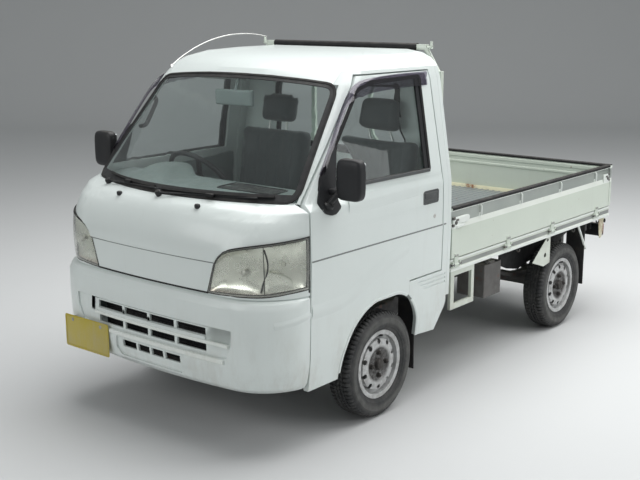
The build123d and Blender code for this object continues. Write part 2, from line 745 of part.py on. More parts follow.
battery_x = (400, 585)
battery_y = (2036, 2226)
battery_z = (312, 508)
lug_y = (2100, 2160)
lug_top_z = battery_z[1] + 12
battery_box = fillet(block(battery_x, battery_y, battery_z).edges().filter_by(Axis.Z), 8)
battery_box = battery_box + block((rail_side_x, battery_x[1] - 5), lug_y, (battery_z[1], lug_top_z))
battery_box = battery_box + block((rail_side_x, battery_x[0]), lug_y, (rail_rear_z + 10, lug_top_z))

silencer_x = 230
silencer_z = 380
silencer_y = 1700
silencer_length = 480
pipe_end_y = 2400
silencer_plane = Plane(origin=(silencer_x, silencer_y, silencer_z), z_dir=(0, 1, 0))
silencer = extrude(silencer_plane * Ellipse(95, 60), silencer_length)
pipe_rows = [
    # front_y, rear_y, radius
    (engine_rear_y - 20, silencer_y + 20, 20),
    (silencer_y + silencer_length - 20, pipe_end_y, 18),
]
for front_y, rear_y, pipe_r in pipe_rows:
    silencer = silencer + rod((silencer_x, front_y, silencer_z), (silencer_x, rear_y, silencer_z), pipe_r)
silencer = silencer + block((silencer_x - 10, rail_inner_x), (1900, 1930), (430, rail_rear_z + 20))

# Antenna: a whip from the pillar over the roof to the guard frame's end
antenna_r = 3
antenna_foot = (-590, 746, 1656)
antenna_top = (-582, 1100, guard_top_z + 37)
antenna_tip = (-568, guard_y + 14, guard_top_z + 32.5)
antenna_path = ThreePointArc(antenna_foot, antenna_top, antenna_tip)
antenna_section = Plane(origin=antenna_path @ 0, z_dir=antenna_path % 0) * Circle(antenna_r)
antenna = sweep(antenna_section, path=antenna_path)
antenna = antenna + rod((-572, 733, 1626), (-591, 747, 1661), 8) - cab_outer

# Dashboard and steering
steer_angle = 38
steer_centre = Vector(-345, 705, 1085)
steer_axis = Vector(0, math.cos(math.radians(steer_angle)), math.sin(math.radians(steer_angle)))
steer_plane = Plane(origin=steer_centre, z_dir=steer_axis)
steer_r = 185
steer_shaft_r = 11
column_r = 34


def down_column(distance):
    """The point on the steering axis that far below the wheel's middle."""
    return steer_centre - steer_axis * distance


steering_wheel = steer_plane * Torus(steer_r, 13)
steering_wheel = steering_wheel + steer_plane * Pos(0, 0, -22) * Cylinder(52, 40)
for angle in (30, 150, 270):
    steering_wheel = steering_wheel + steer_plane * Rot(0, 0, angle) * Pos(110, 0, -8) * Box(150, 26, 12)
steering_wheel = steering_wheel + rod(down_column(40), down_column(150), steer_shaft_r)
column = rod(down_column(60), down_column(330), column_r)
column = column - rod(down_column(60), down_column(160), steer_shaft_r + pin_gap)
dash_points = [
    (150, 1100), (300, 1112), (470, 1085), (500, 1020), (440, 860), (360, 830), (200, 830), (120, 980),
]
dash_space = rod(down_column(60), down_column(400), column_r)
dashboard = (side_plate(dash_points, -800, 800) & cab_inner) - near_door - mirrored(near_door)
dashboard = dashboard - dash_space - lamp_zone
dashboard = dashboard + column

# Seats: each a plain solid for its cushion and its back with headrest
seat_x = 350
seat_base_z = 800
seat_base_half = 640
seat_base_y = (800, 1290)
seat_base_sheet = 10
cushion_height = 125
back_height = 500
back_lean = 10
stem_x = 63
inside_y = (seat_base_y[0] + seat_base_sheet, seat_base_y[1] - seat_base_sheet)
seat_base = block(around(0, seat_base_half), seat_base_y, (deck_z + deck_sheet, seat_base_z))
inside_x = around(0, seat_base_half - seat_base_sheet)
seat_base = seat_base - block(inside_x, inside_y, (deck_z, seat_base_z - 6))
cab_floor = cab_floor + seat_base
cushion = fillet(block(around(0, 245), (770, 1165), (seat_base_z, seat_base_z + cushion_height)).edges(), 28)
backrest = fillet(block(around(0, 240), around(0, 50), (0, back_height)).edges(), 30)
headrest = fillet(block(around(0, 120), around(0, 38), (530, 690)).edges(), 28)
for x in (-stem_x, stem_x):
    headrest = headrest + block(around(x, 7), around(0, 7), (back_height - 10, back_height + 50))
seat_back = Pos(0, 1230, seat_base_z + 4.3) * Rot(-back_lean, 0, 0) * (backrest + headrest)
seat_cushions = [Pos(side * seat_x, 0, 0) * cushion for side in (-1, 1)]
seat_backs = [Pos(side * seat_x, 0, 0) * seat_back for side in (-1, 1)]

# Rear lamps, each on a bracket under the last beam
lamp_x = (560, 700)
lamp_y = (length - 75, length - 15)
lamp_z = (476, 556)
lamp_bracket_y = (lamp_y[0] - 35, lamp_y[0] + 5)
lamp = block(lamp_x, lamp_y, lamp_z)
lamp = lamp + block(around(625, 15), lamp_bracket_y, (lamp_z[1] - 36, beam_top_z - beam_depth))
rear_lamps = [lamp, mirrored(lamp)]

# Number plates, blank, each screwed to a bracket through two holes
plate_width, plate_height, plate_sheet = 330, 165, 2
plate_hole_pitch, plate_hole_r, plate_hole_up = 210, 3.5, 60
front_plate_x, front_plate_y, front_plate_z = -448, 3, 390
rear_plate_x, rear_plate_z = 0, 520
plate_bracket_bottom_z = 590


def number_plate(x, y, z, facing, bracket_depth):
    """A plate whose face is at y, with its bracket behind it."""
    back_y = y - facing * plate_sheet
    bracket_y = back_y - facing * bracket_depth
    hole_z = z + plate_hole_up
    plate_y = (min(y, back_y), max(y, back_y))
    plate = block(around(x, plate_width / 2), plate_y, around(z, plate_height / 2))
    bracket = block(around(x, plate_hole_pitch / 2 + 20), (min(bracket_y, back_y), max(bracket_y, back_y)),
                    (hole_z - 18, hole_z + 14))
    for hole_x in around(x, plate_hole_pitch / 2):
        hole = rod((hole_x, y - 60, hole_z), (hole_x, y + 60, hole_z), plate_hole_r)
        plate = plate - hole
        bracket = bracket - hole
    return plate + bracket


# Mud flaps behind the wheels, each with its hanger
flap_sheet = 6
hanger_depth = 25
front_flap_y = front_axle_y + tyre_r + 51
rear_flap_y = rear_axle_y + tyre_r + 33
front_flap = block((590, 690), (front_flap_y, front_flap_y + flap_sheet), (150, 600))
front_flap = front_flap + block((590, 690), (front_flap_y, front_flap_y + hanger_depth), (590, deck_z))
rear_flap = block((590, 716), (rear_flap_y, rear_flap_y + flap_sheet), (210, 590))
rear_flap = rear_flap + block((690, 716), (rear_flap_y, rear_flap_y + hanger_depth), (560, sill_bottom_z))
mudguards = [front_flap, rear_flap, mirrored(front_flap), mirrored(rear_flap)]

# Interior mirror, wipers and door mirrors
mirror_glass = fillet(block((-122, 122), (596, 622), (1492, 1568)).edges(), 10)
interior_mirror = mirror_glass + (rod((0, 612, 1550), (0, 662, 1668), 8) & cab_inner)

wiper_rows = [
    # pivot_x, reach_x
    (-452, -10),
    (-5, 500),
]
cowl_row = [row for row in cab_rows if row[0] == cowl_z][0]


def cowl_y(x):
    """Where the foot of the windscreen is at a distance from the middle."""
    nose_y, pillar_x, pillar_y = cowl_row[1:4]
    return nose_y + (pillar_y - nose_y) * (x / pillar_x) ** 2


wipers = []
for pivot_x, reach_x in wiper_rows:
    pivot_y = cowl_y(pivot_x)
    wiper = rod((pivot_x, pivot_y - 8, cowl_z - 20), (pivot_x, pivot_y - 24, cowl_z + 12), 12)
    wiper = wiper + rod((pivot_x, pivot_y - 24, cowl_z + 8), (reach_x, cowl_y(reach_x) - 4, cowl_z + 22), 4)
    wipers.append(wiper - cab_outer)

mirror_base_points = [(405, 1080), (455, 1100), (468, 1168), (405, 1200), (370, 1168), (372, 1100)]
mirror_base = (cab_body(-9) - cab_outer) & side_plate(mirror_base_points, 600, 800)
mirror_arm = mirror_base + (rod((690, 425, 1128), (815, 470, 1175), 11) - cab_outer)
mirror_head = fillet(block((752, 885), (445, 505), (1138, 1322)).edges(), 22)
mirror_left = mirror_arm + mirror_head
door_mirrors = {"left": mirror_left, "right": mirrored(mirror_left)}

front_number_plate = number_plate(front_plate_x, front_plate_y, front_plate_z, -1, 40) - bumper_body(0)
front_hole_z = front_plate_z + plate_hole_up
for hole_x in around(front_plate_x, plate_hole_pitch / 2):
    bumper = bumper - rod((hole_x, -50, front_hole_z), (hole_x, 150, front_hole_z), plate_hole_r + 3)
rear_number_plate = number_plate(rear_plate_x, sill_outer_y + 2, rear_plate_z, 1, 4)
rear_number_plate = rear_number_plate + block(around(0, 60), (sill_outer_y - 4, sill_outer_y),
                                              (plate_bracket_bottom_z, sill_bottom_z))

# Spare wheel under the bed's rear end, hung from its cross member
spare_rim_sheet = 6
spare_inner_r = bead_r - spare_rim_sheet
spare_edge = rim_width / 2 - 4
spare_rim = turned([
    (bead_r, spare_edge), (bead_r, -spare_edge), (spare_inner_r, -spare_edge), (spare_inner_r, 0),
    (0, 0), (0, 5), (spare_inner_r, 5), (spare_inner_r, spare_edge),
])
spare_wheel = Pos(0, spare_y, spare_z) * Rot(0, 90, 0) * (wheel_tyre + spare_rim)
spare_wheel = spare_wheel + block(around(0, 20), around(spare_y, 20), (spare_z, rail_rear_z + 20))


def write(node, *shapes):
    """Writes one node, moved so that the truck's middle is the origin."""
    parts = []
    for shape in shapes:
        parts.extend(shape.solids())
    whole = parts[0] if len(parts) == 1 else Compound(children=parts)
    export_step(Pos(0, -length / 2, 0) * whole, f"parts/{node}.step")


os.makedirs("parts", exist_ok=True)
write("frame", frame)
write("cab_floor", cab_floor)
write("cab_back", cab_back)
write("cab_roof", cab_roof)
write("front_panel", front_panel)
write("cab_glass", windscreen, back_glass)
write("headlights", headlights)
write("bumper", bumper)
write("dashboard", dashboard)
write("steering_wheel", steering_wheel)
write("seats", *seat_cushions, *seat_backs)
write("bed_floor", bed_floor)
write("bed_beams", *bed_beams)
write("guard_frame", guard_frame)
write("tailgate", tailgate)
write("rear_axle", rear_axle)
write("rear_springs", *rear_springs)
write("front_suspension", *front_suspension)
write("engine", engine)
write("fuel_tank", fuel_tank)
write("silencer", silencer)
write("antenna", antenna)
write("rear_lamps", *rear_lamps)
write("mudguards", *mudguards)
write("wipers", *wipers)
write("spare_wheel", spare_wheel)
write("battery_box", battery_box)
write("interior_mirror", interior_mirror)
write("number_plates", front_number_plate, rear_number_plate)
write("knuckle_left", knuckle_left)
write("knuckle_right", mirrored(knuckle_left))
for side in ("left", "right"):
    write(f"cab_side_{side}", sides[side])
    write(f"door_{side}", doors[side])
    write(f"door_glass_{side}", door_glasses[side])
    write(f"mirror_{side}", door_mirrors[side])
    write(f"side_gate_{side}", gates[side])
for name, side, half_track, y in wheels:
    place = Pos(side * half_track, y, wheel_z)
    for part, shape in (("tyre", wheel_tyre), ("rim", wheel_rim)):
        facing = shape if side > 0 else mirrored(shape)
        write(f"{name}_{part}", place * facing)
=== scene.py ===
"""The looks of a small flat-bed truck, dressed around its fixed frame."""

import json
import math

import bmesh
import bpy
from mathutils import Matrix, Vector
from mathutils.bvhtree import BVHTree

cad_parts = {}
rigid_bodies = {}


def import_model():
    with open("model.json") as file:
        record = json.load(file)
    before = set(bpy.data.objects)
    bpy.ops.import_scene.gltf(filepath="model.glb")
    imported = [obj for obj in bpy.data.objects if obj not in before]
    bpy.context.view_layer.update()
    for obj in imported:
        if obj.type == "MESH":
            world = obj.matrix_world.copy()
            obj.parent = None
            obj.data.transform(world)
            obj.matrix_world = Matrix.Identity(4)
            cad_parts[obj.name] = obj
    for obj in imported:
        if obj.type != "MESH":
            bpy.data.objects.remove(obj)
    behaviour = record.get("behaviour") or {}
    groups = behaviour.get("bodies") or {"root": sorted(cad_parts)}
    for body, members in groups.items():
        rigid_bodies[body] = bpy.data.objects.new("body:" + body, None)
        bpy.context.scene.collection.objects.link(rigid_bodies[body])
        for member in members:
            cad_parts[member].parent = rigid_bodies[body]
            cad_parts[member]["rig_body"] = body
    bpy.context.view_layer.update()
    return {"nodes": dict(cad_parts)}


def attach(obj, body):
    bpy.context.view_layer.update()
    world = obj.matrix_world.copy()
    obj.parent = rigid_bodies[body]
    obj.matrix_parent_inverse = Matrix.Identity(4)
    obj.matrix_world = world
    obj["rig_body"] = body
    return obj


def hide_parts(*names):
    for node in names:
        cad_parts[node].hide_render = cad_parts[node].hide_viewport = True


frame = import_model()

# Shapes are drawn in millimetres from the bumper's nose on the centre line, at ground level:
# X to the truck's left, Y backwards, Z up. at() turns such a point into the frame's metres.
# What has a side is drawn on the left and mirrored for the right.
LENGTH = 3395
FRONT_AXLE_Y, REAR_AXLE_Y = 853, 2753
FRONT_TRACK, REAR_TRACK = 1305, 1300
WHEEL_Z = 264
COWL_Z = 1128
CREASE_Z = 885
SIDES = {"left": 1, "right": -1}
SIDED_BODIES = ("door", "side_gate")


def at(x, y, z):
    """A drawn point in the frame's metres."""
    return Vector((x, y - LENGTH / 2, z)) / 1000


def drawn(point):
    """A point in the frame's metres as drawn millimetres."""
    return Vector((point.x * 1000, point.y * 1000 + LENGTH / 2, point.z * 1000))


def about(middle, half):
    """The range that reaches half to both sides of a middle."""
    return middle - half, middle + half


def clamped(value):
    """The value kept between 0 and 1."""
    return min(1, max(0, value))


# Finishes


class Finish:
    """A material and the nodes that colour it, read where a point lies on the truck."""

    def __init__(self, name, colour, roughness, **sockets):
        self.material = bpy.data.materials.new(name)
        self.material.use_nodes = True
        self.material.diffuse_color = (*colour, 1)
        self.tree = self.material.node_tree
        self.shader = self.tree.nodes["Principled BSDF"]
        self.colour = colour
        self.drive("Base Color", colour)
        self.drive("Roughness", roughness)
        for socket, value in sockets.items():
            self.drive(socket.replace("_", " "), value)
        self.place = self.node("TexCoord").outputs["Object"]

    def node(self, kind, fed=(), **settings):
        """A new node with its settings, and what feeds its inputs."""
        made = self.tree.nodes.new("ShaderNode" + kind)
        for setting, value in settings.items():
            setattr(made, setting, value)
        for socket, value in dict(fed).items():
            self.feed(made.inputs[socket], value)
        return made

    def feed(self, socket, value):
        """Links a node's output to a socket, or sets the socket to a plain value."""
        if isinstance(value, bpy.types.NodeSocket):
            self.tree.links.new(value, socket)
        elif isinstance(value, tuple) and len(value) == 3 and socket.type == "RGBA":
            socket.default_value = (*value, 1)
        else:
            socket.default_value = value

    def drive(self, socket, value):
        """Feeds one of the shader's own inputs."""
        self.feed(self.shader.inputs[socket], value)

    def noise(self, scale, detail=4, roughness=0.6, stretch=(1, 1, 1), shift=(0, 0, 0)):
        """Cloudy values about a half, finer at a larger scale."""
        mapping = self.node("Mapping", {"Vector": self.place, "Scale": stretch, "Location": shift})
        fed = {"Vector": mapping.outputs["Vector"], "Scale": scale, "Detail": detail, "Roughness": roughness}
        return self.node("TexNoise", fed).outputs["Fac"]

    def between(self, value, low, high, to_low=0.0, to_high=1.0):
        """Value's smooth rise from to_low, where it is low, to to_high, where it is high."""
        fed = {"Value": value, "From Min": low, "From Max": high, "To Min": to_low, "To Max": to_high}
        return self.node("MapRange", fed, interpolation_type="SMOOTHSTEP").outputs["Result"]

    def cloud(self, grain, low, high, to_low=0.0, to_high=1.0):
        """Noise of a grain, spread between two values."""
        return self.between(self.noise(*grain), low, high, to_low, to_high)

    def times(self, first, second):
        """Two values multiplied."""
        return self.node("Math", {0: first, 1: second}, operation="MULTIPLY").outputs[0]

    def either(self, first, second):
        """The larger of two values."""
        return self.node("Math", {0: first, 1: second}, operation="MAXIMUM").outputs[0]

    def height(self, axis="Z"):
        """How far along an axis a point lies, in metres."""
        return self.node("SeparateXYZ", {"Vector": self.place}).outputs[axis]

    def facing(self):
        """How much a face looks up."""
        normal = self.node("NewGeometry").outputs["Normal"]
        return self.node("SeparateXYZ", {"Vector": normal}).outputs["Z"]

    def attribute(self, name):
        """A value kept on the mesh."""
        return self.node("Attribute", attribute_name=name).outputs["Fac"]

    def tint(self, share, colour):
        """The colour so far with a share of another over it."""
        mix = self.node("Mix", {0: share, 6: self.colour, 7: colour}, data_type="RGBA")
        self.colour = mix.outputs[2]
        self.drive("Base Color", self.colour)

    def dulled(self, scale, low, high, detail=4, span=(0.3, 0.7)):
        """Roughness that wanders between two values."""
        self.drive("Roughness", self.cloud((scale, detail), *span, low, high))

    def bump(self, value, distance, strength=1.0):
        """Raises the surface by distance, in metres, where value is 1."""
        bump = self.node("Bump", {"Strength": strength, "Distance": distance, "Height": value})
        normal = self.shader.inputs["Normal"]
        if normal.links:
            self.feed(bump.inputs["Normal"], normal.links[0].from_socket)
        self.feed(normal, bump.outputs["Normal"])


RUST = (0.20, 0.065, 0.022)
DUST = (0.30, 0.28, 0.24)


def shaded(colour, share, more=0.0):
    """A colour made darker or lighter."""
    return tuple(min(1, c * share + more) for c in colour)


# Where the outer faces of the gates and sills begin, in metres: X squared, and Y at the tail
SIDE_FACE_X2, TAIL_FACE_Y = (0.500, 0.512), (1.664, 1.672)
BAND_EDGE = 0.001


def painted(name, colour, rust, grime, bands=()):
    """Old glossy paint: painted highlight and painted shade in level bands round the bed, clouding, road film
    low down, and rust spots.
    """
    f = Finish(name, colour, 0.3, Coat_Weight=0.35, Coat_Roughness=0.12)
    # Each band paints light onto the outer faces: lighter for a highlight, darker for shade in a recess.
    for low, high, over in bands:
        outside = f.either(f.between(f.times(f.height("X"), f.height("X")), *SIDE_FACE_X2),
                           f.between(f.height("Y"), *TAIL_FACE_Y))
        span = f.times(f.between(f.height(), low - BAND_EDGE, low),
                       f.between(f.height(), high + BAND_EDGE, high))
        f.tint(f.times(outside, span), over)
    f.tint(f.cloud((3.0, 3), 0.35, 0.75, 0.0, 0.22), shaded(colour, 0.88))
    low = f.between(f.height(), 0.75, 0.28, 0.0, 1.0)
    film = f.cloud((9.0, 6, 0.7, (1, 1, 0.35)), 0.38, 0.72, 0.0, grime)
    f.tint(f.times(low, film), (0.40, 0.37, 0.31))
    f.tint(f.cloud((26.0, 3, 0.6, (1, 1, 0.06)), 0.55, 0.8, 0.0, 0.16 * grime), (0.45, 0.43, 0.37))
    spots = f.cloud((34.0, 6, 0.75), 0.72 - 0.16 * rust, 0.80 - 0.12 * rust)
    rusty = f.times(spots, f.cloud((4.0, 2, 0.5, (1, 1, 1), (3, 1, 2)), 0.45, 0.62))
    f.tint(rusty, RUST)
    f.drive("Roughness", f.between(rusty, 0.0, 1.0, 0.3, 0.85))
    f.bump(f.noise(120.0, 1), 0.00006)
    return f.material


def chassis_finish(name, colour, rust):
    """Black underbody paint under dust, with rust breaking through."""
    f = Finish(name, colour, 0.6)
    f.tint(f.cloud((7.0, 6, 0.7), 0.42, 0.75, 0.0, 0.55), (0.075, 0.066, 0.056))
    f.tint(f.times(f.between(f.facing(), 0.3, 0.9), f.cloud((11.0, 5), 0.3, 0.7, 0.15, 0.6)), DUST)
    breaks = (16.0, 8, 0.75, (1, 1, 1), (2, 5, 1))
    f.tint(f.cloud(breaks, 0.62 - 0.14 * rust, 0.74 - 0.1 * rust, 0.0, 0.9), RUST)
    f.dulled(20.0, 0.5, 0.8)
    f.bump(f.noise(90.0, 5, 0.7), 0.0006)
    return f.material


def moulded(name, colour, roughness, grain, dust):
    """Moulded plastic or rubber with a fine grain and a little dust on top."""
    f = Finish(name, colour, roughness, Specular_IOR_Level=0.3)
    dusty = tuple(0.5 * c + 0.5 * d * 0.4 for c, d in zip(colour, DUST))
    f.tint(f.cloud((5.0, 5, 0.7), 0.4, 0.75, 0.0, dust), dusty)
    f.tint(f.times(f.between(f.facing(), 0.4, 1.0, 0.0, dust), f.cloud((30.0, 4), 0.3, 0.7)), DUST)
    f.dulled(18.0, roughness - 0.08, roughness + 0.12)
    f.bump(f.noise(grain, 2), 0.00018)
    return f.material


def tyre_finish():
    """Worn tyre rubber, greyer in dusty clouds, with a lighter ring round the middle of its walls."""
    f = Finish("tyre_rubber", (0.032, 0.033, 0.034), 0.72)
    f.tint(f.cloud((12.0, 6, 0.7), 0.38, 0.72, 0.0, 0.6), (0.085, 0.083, 0.078))
    f.tint(f.cloud((70.0, 4, 0.7), 0.55, 0.75, 0.0, 0.35), (0.11, 0.105, 0.095))
    away = f.attribute("hub_distance")
    ring = f.times(f.between(away, 0.196, 0.212), f.between(away, 0.243, 0.226))
    f.tint(f.times(ring, f.cloud((18.0, 4), 0.3, 0.7, 0.3, 0.75)), (0.125, 0.125, 0.118))
    f.dulled(30.0, 0.6, 0.85)
    f.bump(f.noise(260.0, 4, 0.7), 0.0003)
    return f.material


def rim_finish():
    """Dull silver wheel paint with brake dust, and rust that grows towards the hub."""
    f = Finish("rim_paint", (0.60, 0.61, 0.61), 0.4, Metallic=0.35)
    near = f.between(f.attribute("hub_distance"), 0.098, 0.072)
    f.tint(f.cloud((22.0, 6, 0.7), 0.35, 0.75, 0.05, 0.6), (0.17, 0.155, 0.14))
    f.tint(f.times(near, f.cloud((38.0, 6, 0.75), 0.3, 0.6, 0.6, 1.0)), (0.036, 0.032, 0.030))
    f.tint(f.cloud((60.0, 6, 0.8, (1, 1, 1), (1, 2, 3)), 0.62, 0.74, 0.0, 0.35), (0.12, 0.055, 0.03))
    f.dulled(30.0, 0.35, 0.65)
    f.bump(f.noise(150.0, 5, 0.7), 0.0003)
    return f.material


def bowl_finish():
    """A lamp's plated bowl, greyed and cloudy with age, with a painted dark reflection across its middle."""
    f = Finish("lamp_bowl", (0.87, 0.885, 0.83), 0.3, Metallic=0.75)
    f.tint(f.cloud((9.0, 1), 0.4, 0.7, 0.0, 0.25), (0.46, 0.47, 0.43))
    # A darker band across the bowl's middle height: a painted reflection.
    middle = f.times(f.between(f.height(), 0.79, 0.85), f.between(f.height(), 0.95, 0.88))
    f.tint(f.times(middle, 0.4), (0.40, 0.405, 0.37))
    f.tint(f.between(f.height(), 0.775, 0.745, 0.0, 0.45), (0.40, 0.20, 0.12))
    f.dulled(12.0, 0.22, 0.4, span=(0.35, 0.8))
    return f.material


def metal_finish(name, colour, roughness, rust):
    """Bare or plated metal with dull patches and a little rust."""
    f = Finish(name, colour, roughness, Metallic=0.9)
    f.tint(f.cloud((40.0, 6, 0.75), 0.66 - 0.2 * rust, 0.78 - 0.1 * rust, 0.0, 0.85), RUST)
    f.dulled(25.0, roughness - 0.08, roughness + 0.2, 5)
    f.bump(f.noise(140.0, 4), 0.0003)
    return f.material


def clear(name, colour, roughness=0.02, passes=(0.8, 0.84, 0.83), ior=1.48):
    """Glass or clear plastic that lets the lamps' light through to what is behind it."""
    f = Finish(name, colour, roughness, Transmission_Weight=1.0, IOR=ior)
    f.drive("Roughness", f.cloud((2.5, 5, 0.7), 0.45, 0.8, roughness, roughness + 0.05))
    mix = f.node("MixShader", {
        0: f.node("LightPath").outputs["Is Shadow Ray"],
        1: f.shader.outputs["BSDF"],
        2: f.node("BsdfTransparent", {"Color": passes}).outputs["BSDF"],
    })
    f.feed(f.tree.nodes["Material Output"].inputs["Surface"], mix.outputs["Shader"])
    return f.material


THREAD = 900.0


def woven(name, colour):
    """Seat cloth with a fine weave and worn, lighter patches."""
    f = Finish(name, colour, 0.75, Sheen_Weight=0.3, Sheen_Roughness=0.5)
    f.tint(f.cloud((9.0, 5, 0.7), 0.4, 0.75, 0.0, 0.45), shaded(colour, 1.5, 0.01))
    f.tint(f.cloud((THREAD, 2), 0.35, 0.65, 0.0, 0.4), shaded(colour, 0.6))
    f.bump(f.noise(THREAD, 2), 0.0004)
    f.bump(f.noise(14.0, 3), 0.0015, 0.5)
    return f.material


def mirror_finish(name, colour, roughness):
    """Silvered glass, a little hazy."""
    f = Finish(name, colour, roughness, Metallic=1.0)
    f.tint(f.cloud((8.0, 5, 0.7), 0.45, 0.8, 0.0, 0.3), shaded(colour, 0.72))
    f.dulled(12.0, roughness, roughness + 0.12, 5, (0.35, 0.8))
    return f.material


WHITE = painted("white_paint", (0.71, 0.765, 0.745), rust=0.15, grime=0.35)
# A lighter copy of the paint: a painted highlight for lips and small fittings that catch the light.
HIGHLIT_PAINT = painted("highlit_paint", (0.80, 0.84, 0.80), rust=0.2, grime=0.3)
BED = painted("bed_paint", (0.63, 0.69, 0.61), rust=0.6, grime=0.7)
GATE = painted("gate_paint", (0.63, 0.69, 0.61), rust=0.5, grime=0.6, bands=(
    # low and high in metres, and the band's colour: a painted highlight on the slope and on the lip, painted
    # shade in the recess between them
    (0.8375, 0.8645, (0.84, 0.88, 0.82)),
    (0.8650, 0.9265, (0.32, 0.35, 0.33)),
    (0.9275, 0.9400, (0.84, 0.88, 0.83)),
))
SILL = painted("sill_paint", (0.64, 0.69, 0.61), rust=0.7, grime=0.6, bands=(
    # a painted highlight on the lower lip, and painted shade in the recessed channel above it
    (0.6080, 0.6270, (0.82, 0.86, 0.79)),
    (0.6300, 0.6520, (0.20, 0.215, 0.205)),
))
DECK = painted("deck_paint", (0.175, 0.195, 0.20), rust=0.9, grime=0.9)
RUSTED = painted("rusty_cream", (0.68, 0.66, 0.47), rust=2.1, grime=0.4)
YELLOW = painted("plate_yellow", (0.47, 0.37, 0.014), rust=0.1, grime=0.4)
CHASSIS = chassis_finish("chassis_black", (0.024, 0.024, 0.025), 0.35)
DUSTY = chassis_finish("dusty_steel", (0.15, 0.145, 0.14), 0.25)
SOOT = chassis_finish("dark_castings", (0.030, 0.030, 0.030), 0.15)
CAST = chassis_finish("cast_metal", (0.11, 0.11, 0.105), 0.4)
STEEL = metal_finish("bare_steel", (0.42, 0.42, 0.41), 0.42, 0.6)
PLATED = metal_finish("plated_metal", (0.62, 0.62, 0.60), 0.3, 0.25)
NUTS = metal_finish("wheel_nuts", (0.085, 0.080, 0.076), 0.55, 0.3)
WEIGHT = metal_finish("balance_weight", (0.50, 0.50, 0.49), 0.5, 0.1)
RIM = rim_finish()
TYRE = tyre_finish()
RUBBER = moulded("rubber_black", (0.012, 0.012, 0.013), 0.6, 300.0, 0.14)
PLASTIC = moulded("black_plastic", (0.022, 0.023, 0.025), 0.42, 500.0, 0.15)
GREY_PLASTIC = moulded("grey_plastic", (0.085, 0.09, 0.092), 0.45, 500.0, 0.2)
DASH = moulded("dash_grey", (0.19, 0.225, 0.22), 0.55, 420.0, 0.15)
LINING = moulded("roof_lining", (0.42, 0.44, 0.42), 0.8, 700.0, 0.1)
MAT = moulded("floor_mat", (0.05, 0.052, 0.05), 0.85, 260.0, 0.5)
# Dark strips laid along the pressed lines: a painted shadow.
SHADOW_LINE = moulded("crease_shadow", (0.20, 0.215, 0.21), 0.5, 300.0, 0.1)
LAMP_GREY = moulded("lamp_housing", (0.24, 0.245, 0.235), 0.35, 600.0, 0.1)
SEAT = woven("seat_cloth", (0.075, 0.085, 0.088))
GLASS = clear("window_glass", (0.88, 0.93, 0.92))
LENS = clear("lamp_lens", (0.93, 0.94, 0.91), 0.08, (0.93, 0.935, 0.90))
RED_LENS = clear("lamp_red", (0.75, 0.03, 0.02), 0.06, (0.8, 0.06, 0.04))
AMBER_LENS = clear("lamp_amber", (0.95, 0.35, 0.03), 0.06, (0.9, 0.4, 0.08))
SMOKED = clear("smoked_plastic", (0.30, 0.275, 0.33), 0.03, (0.35, 0.32, 0.38), 1.55)
REFLECTOR = bowl_finish()
MIRROR = mirror_finish("mirror_glass", (0.75, 0.77, 0.78), 0.03)

SLOTS = {
    # slot, and the finishes that go into it where a piece names no slot
    "white_paint": (WHITE, SHADOW_LINE),
    "bed_paint": (HIGHLIT_PAINT, BED, GATE, SILL, DECK, RUSTED),
    "plate_yellow": (YELLOW,),
    "chassis_black": (CHASSIS, DUSTY),
    "cast_metal": (SOOT, CAST, NUTS),
    "bare_steel": (STEEL, PLATED, WEIGHT),
    "rim_silver": (RIM,),
    "tyre_black": (TYRE,),
    "rubber_black": (RUBBER, MAT),
    "black_plastic": (PLASTIC, GREY_PLASTIC, SMOKED, MIRROR),
    "dash_grey": (DASH, LINING),
    "seat_vinyl": (SEAT,),
    "window_glass": (GLASS,),
    "lamp_lens": (LENS, AMBER_LENS, REFLECTOR, LAMP_GREY),
    "lamp_red": (RED_LENS,),
}
SLOT_OF = {finish.name: slot for slot, finishes in SLOTS.items() for finish in finishes}


# Meshes


def into_scene(name, data):
    """A new object of a mesh, in the scene."""
    thing = bpy.data.objects.new(name, data)
    bpy.context.scene.collection.objects.link(thing)
    return thing


def kept(mesh, name):
    """A drawn mesh as lasting data."""
    data = bpy.data.meshes.new(name)
    mesh.to_mesh(data)
    mesh.free()
    return data


def give(thing, finish, body, slot=None, replaces=()):
    """Sets a finished mesh on its body with its material."""
    thing.data.materials.clear()
    thing.data.materials.append(finish)
    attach(thing, body)
    slot or SLOT_OF[finish.name]
    if replaces:
        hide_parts(*replaces)
    return thing


def soften(data, crease):
    """Smooth shading with edges sharper than crease, in degrees, kept."""
    data.shade_smooth()
    data.set_sharp_from_angle(angle=math.radians(crease))
    return data


def mirrored(data):
    """The mesh's mirror image across the truck's middle."""
    data.transform(Matrix.Scale(-1, 4, (1, 0, 0)))
    data.flip_normals()
    return data


PANEL_CREASE = 32


def panel(node, finish, edge, slot=None):
    """A merged copy of a node, with its edges rounded, that stands for it."""
    source = frame["nodes"][node]
    mesh = bmesh.new()
    mesh.from_mesh(source.data)
    bmesh.ops.remove_doubles(mesh, verts=mesh.verts, dist=0.00003)
    bmesh.ops.dissolve_limit(mesh, angle_limit=math.radians(0.4), verts=mesh.verts, edges=mesh.edges)
    thing = into_scene(node + "_panel", soften(kept(mesh, node + "_panel"), PANEL_CREASE))
    if edge:
        bevel = thing.modifiers.new("rounding", "BEVEL")
        bevel.width = edge / 1000
        bevel.segments = 2
        bevel.limit_method = "ANGLE"
        bevel.angle_limit = math.radians(PANEL_CREASE)
        bevel.use_clamp_overlap = False
        bevel.harden_normals = True
    return give(thing, finish, source["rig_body"], slot, (node,))


def placed_along(axis, a, b, c):
    """A point that lies c along an axis, with a and b along the other two."""
    return {"X": (c, a, b), "Y": (a, c, b), "Z": (a, b, c)}[axis]


